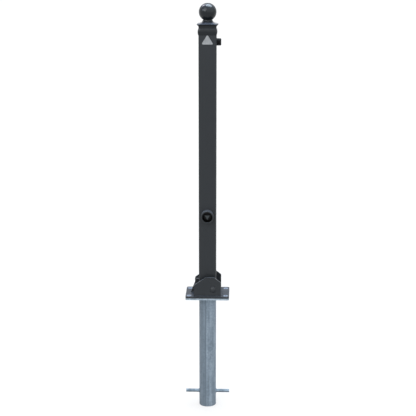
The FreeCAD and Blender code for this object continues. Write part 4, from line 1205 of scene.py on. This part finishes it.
@dataclass
class Studio:
    """The floor, the lamps, the world and the camera."""

    floor_level: float = -0.4152
    floor_half: float = 60.0
    floor_tone: float = 0.30
    floor_glow: float = 0.66
    world_level: float = 0.46
    lamps: tuple[SoftLamp, ...] = (
        SoftLamp("left_front_panel", (-0.55, -0.75, 0.55), 1.35, spread=45.0),
        SoftLamp("right_front_panel", (0.62, -0.68, 0.36), 1.25, (0.95, 0.98, 1.0), spread=90.0),
        SoftLamp("overhead_panel", (0.05, 0.30, 0.95), 1.5, (0.86, 0.93, 1.0), spread=50.0),
        SoftLamp("top_panel", (0.085, 0.053, 0.49), 7.2, (0.70, 0.85, 1.0), sides=(0.50, 0.30), turn=58.1),
        SoftLamp("rear_panel", (-0.36, 0.30, 0.52), 2.0, (0.88, 0.84, 1.0), sides=(0.26, 0.2)),
        SoftLamp("left_strip", (-0.33, -0.25, 0.17), 0.6, (0.78, 0.90, 1.0), sides=(0.42, 0.10)),
    )
    camera_place: Triple = (0.1099, -3.5, 1.1866)
    camera_yaw: float = 1.78
    camera_pitch: float = 13.92
    focal_pixels: float = 1036.0
    frame_pixels: float = 416.0
    sensor: float = 36.0

    def build(self) -> None:
        """Makes the whole setting."""
        bpy.context.scene.view_settings.view_transform = "Standard"
        self.floor()
        self.world()
        for lamp in self.lamps:
            lamp.build()
        self.camera()

    def floor(self) -> None:
        """A wide pale floor that keeps the object's shadow and is white to the camera elsewhere."""
        half, level = self.floor_half, self.floor_level
        mesh = bpy.data.meshes.new("floor")
        corners = [(-half, -half, level), (half, -half, level), (half, half, level), (-half, half, level)]
        mesh.from_pydata(corners, [], [(0, 1, 2, 3)])
        floor = add_object("floor", mesh)
        material = bpy.data.materials.new("pale_floor")
        sheet = Sheet.of(material)
        matt = sheet.add("BsdfDiffuse", Color=shade(WHITE, self.floor_tone))
        strength = sheet.times(sheet.seen_rays(), self.floor_glow)
        glow = sheet.add("Emission", Color=shade(WHITE), Strength=strength)
        both = sheet.add("AddShader", i0=matt.outputs[0], i1=glow.outputs[0])
        sheet.add("OutputMaterial", Surface=both.outputs[0])
        mesh.materials.append(material)

    def world(self) -> None:
        """White to the camera and in reflections, and a plain level of light on everything else."""
        world = bpy.data.worlds.new("plain_world")
        sheet = Sheet.of(world)
        strength = sheet.maths("MAXIMUM", sheet.seen_rays(), self.world_level)
        back = sheet.add("Background", Color=shade(WHITE), Strength=strength)
        sheet.add("OutputWorld", Surface=back.outputs[0])
        bpy.context.scene.world = world

    def camera(self) -> None:
        """The photograph's view: its lens, place and downward tilt."""
        data = bpy.data.cameras.new("camera")
        data.sensor_width = self.sensor
        data.lens = self.focal_pixels / self.frame_pixels * self.sensor
        camera = add_object("camera", data)
        camera.location = self.camera_place
        camera.rotation_euler = np.radians((90 - self.camera_pitch, 0, self.camera_yaw))
        bpy.context.scene.camera = camera


def main() -> None:
    """Loads the frame, dresses it, adds the new pieces and sets the scene."""
    logging.basicConfig(level=logging.INFO, format="%(message)s")
    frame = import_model()
    make_finishes()
    dress_nodes(frame)
    for part in (GroundSocket(), HingeBracket(), PostColumn(), KeyLock()):
        part.build()
    Studio().build()


if __name__ == "__main__":
    main()
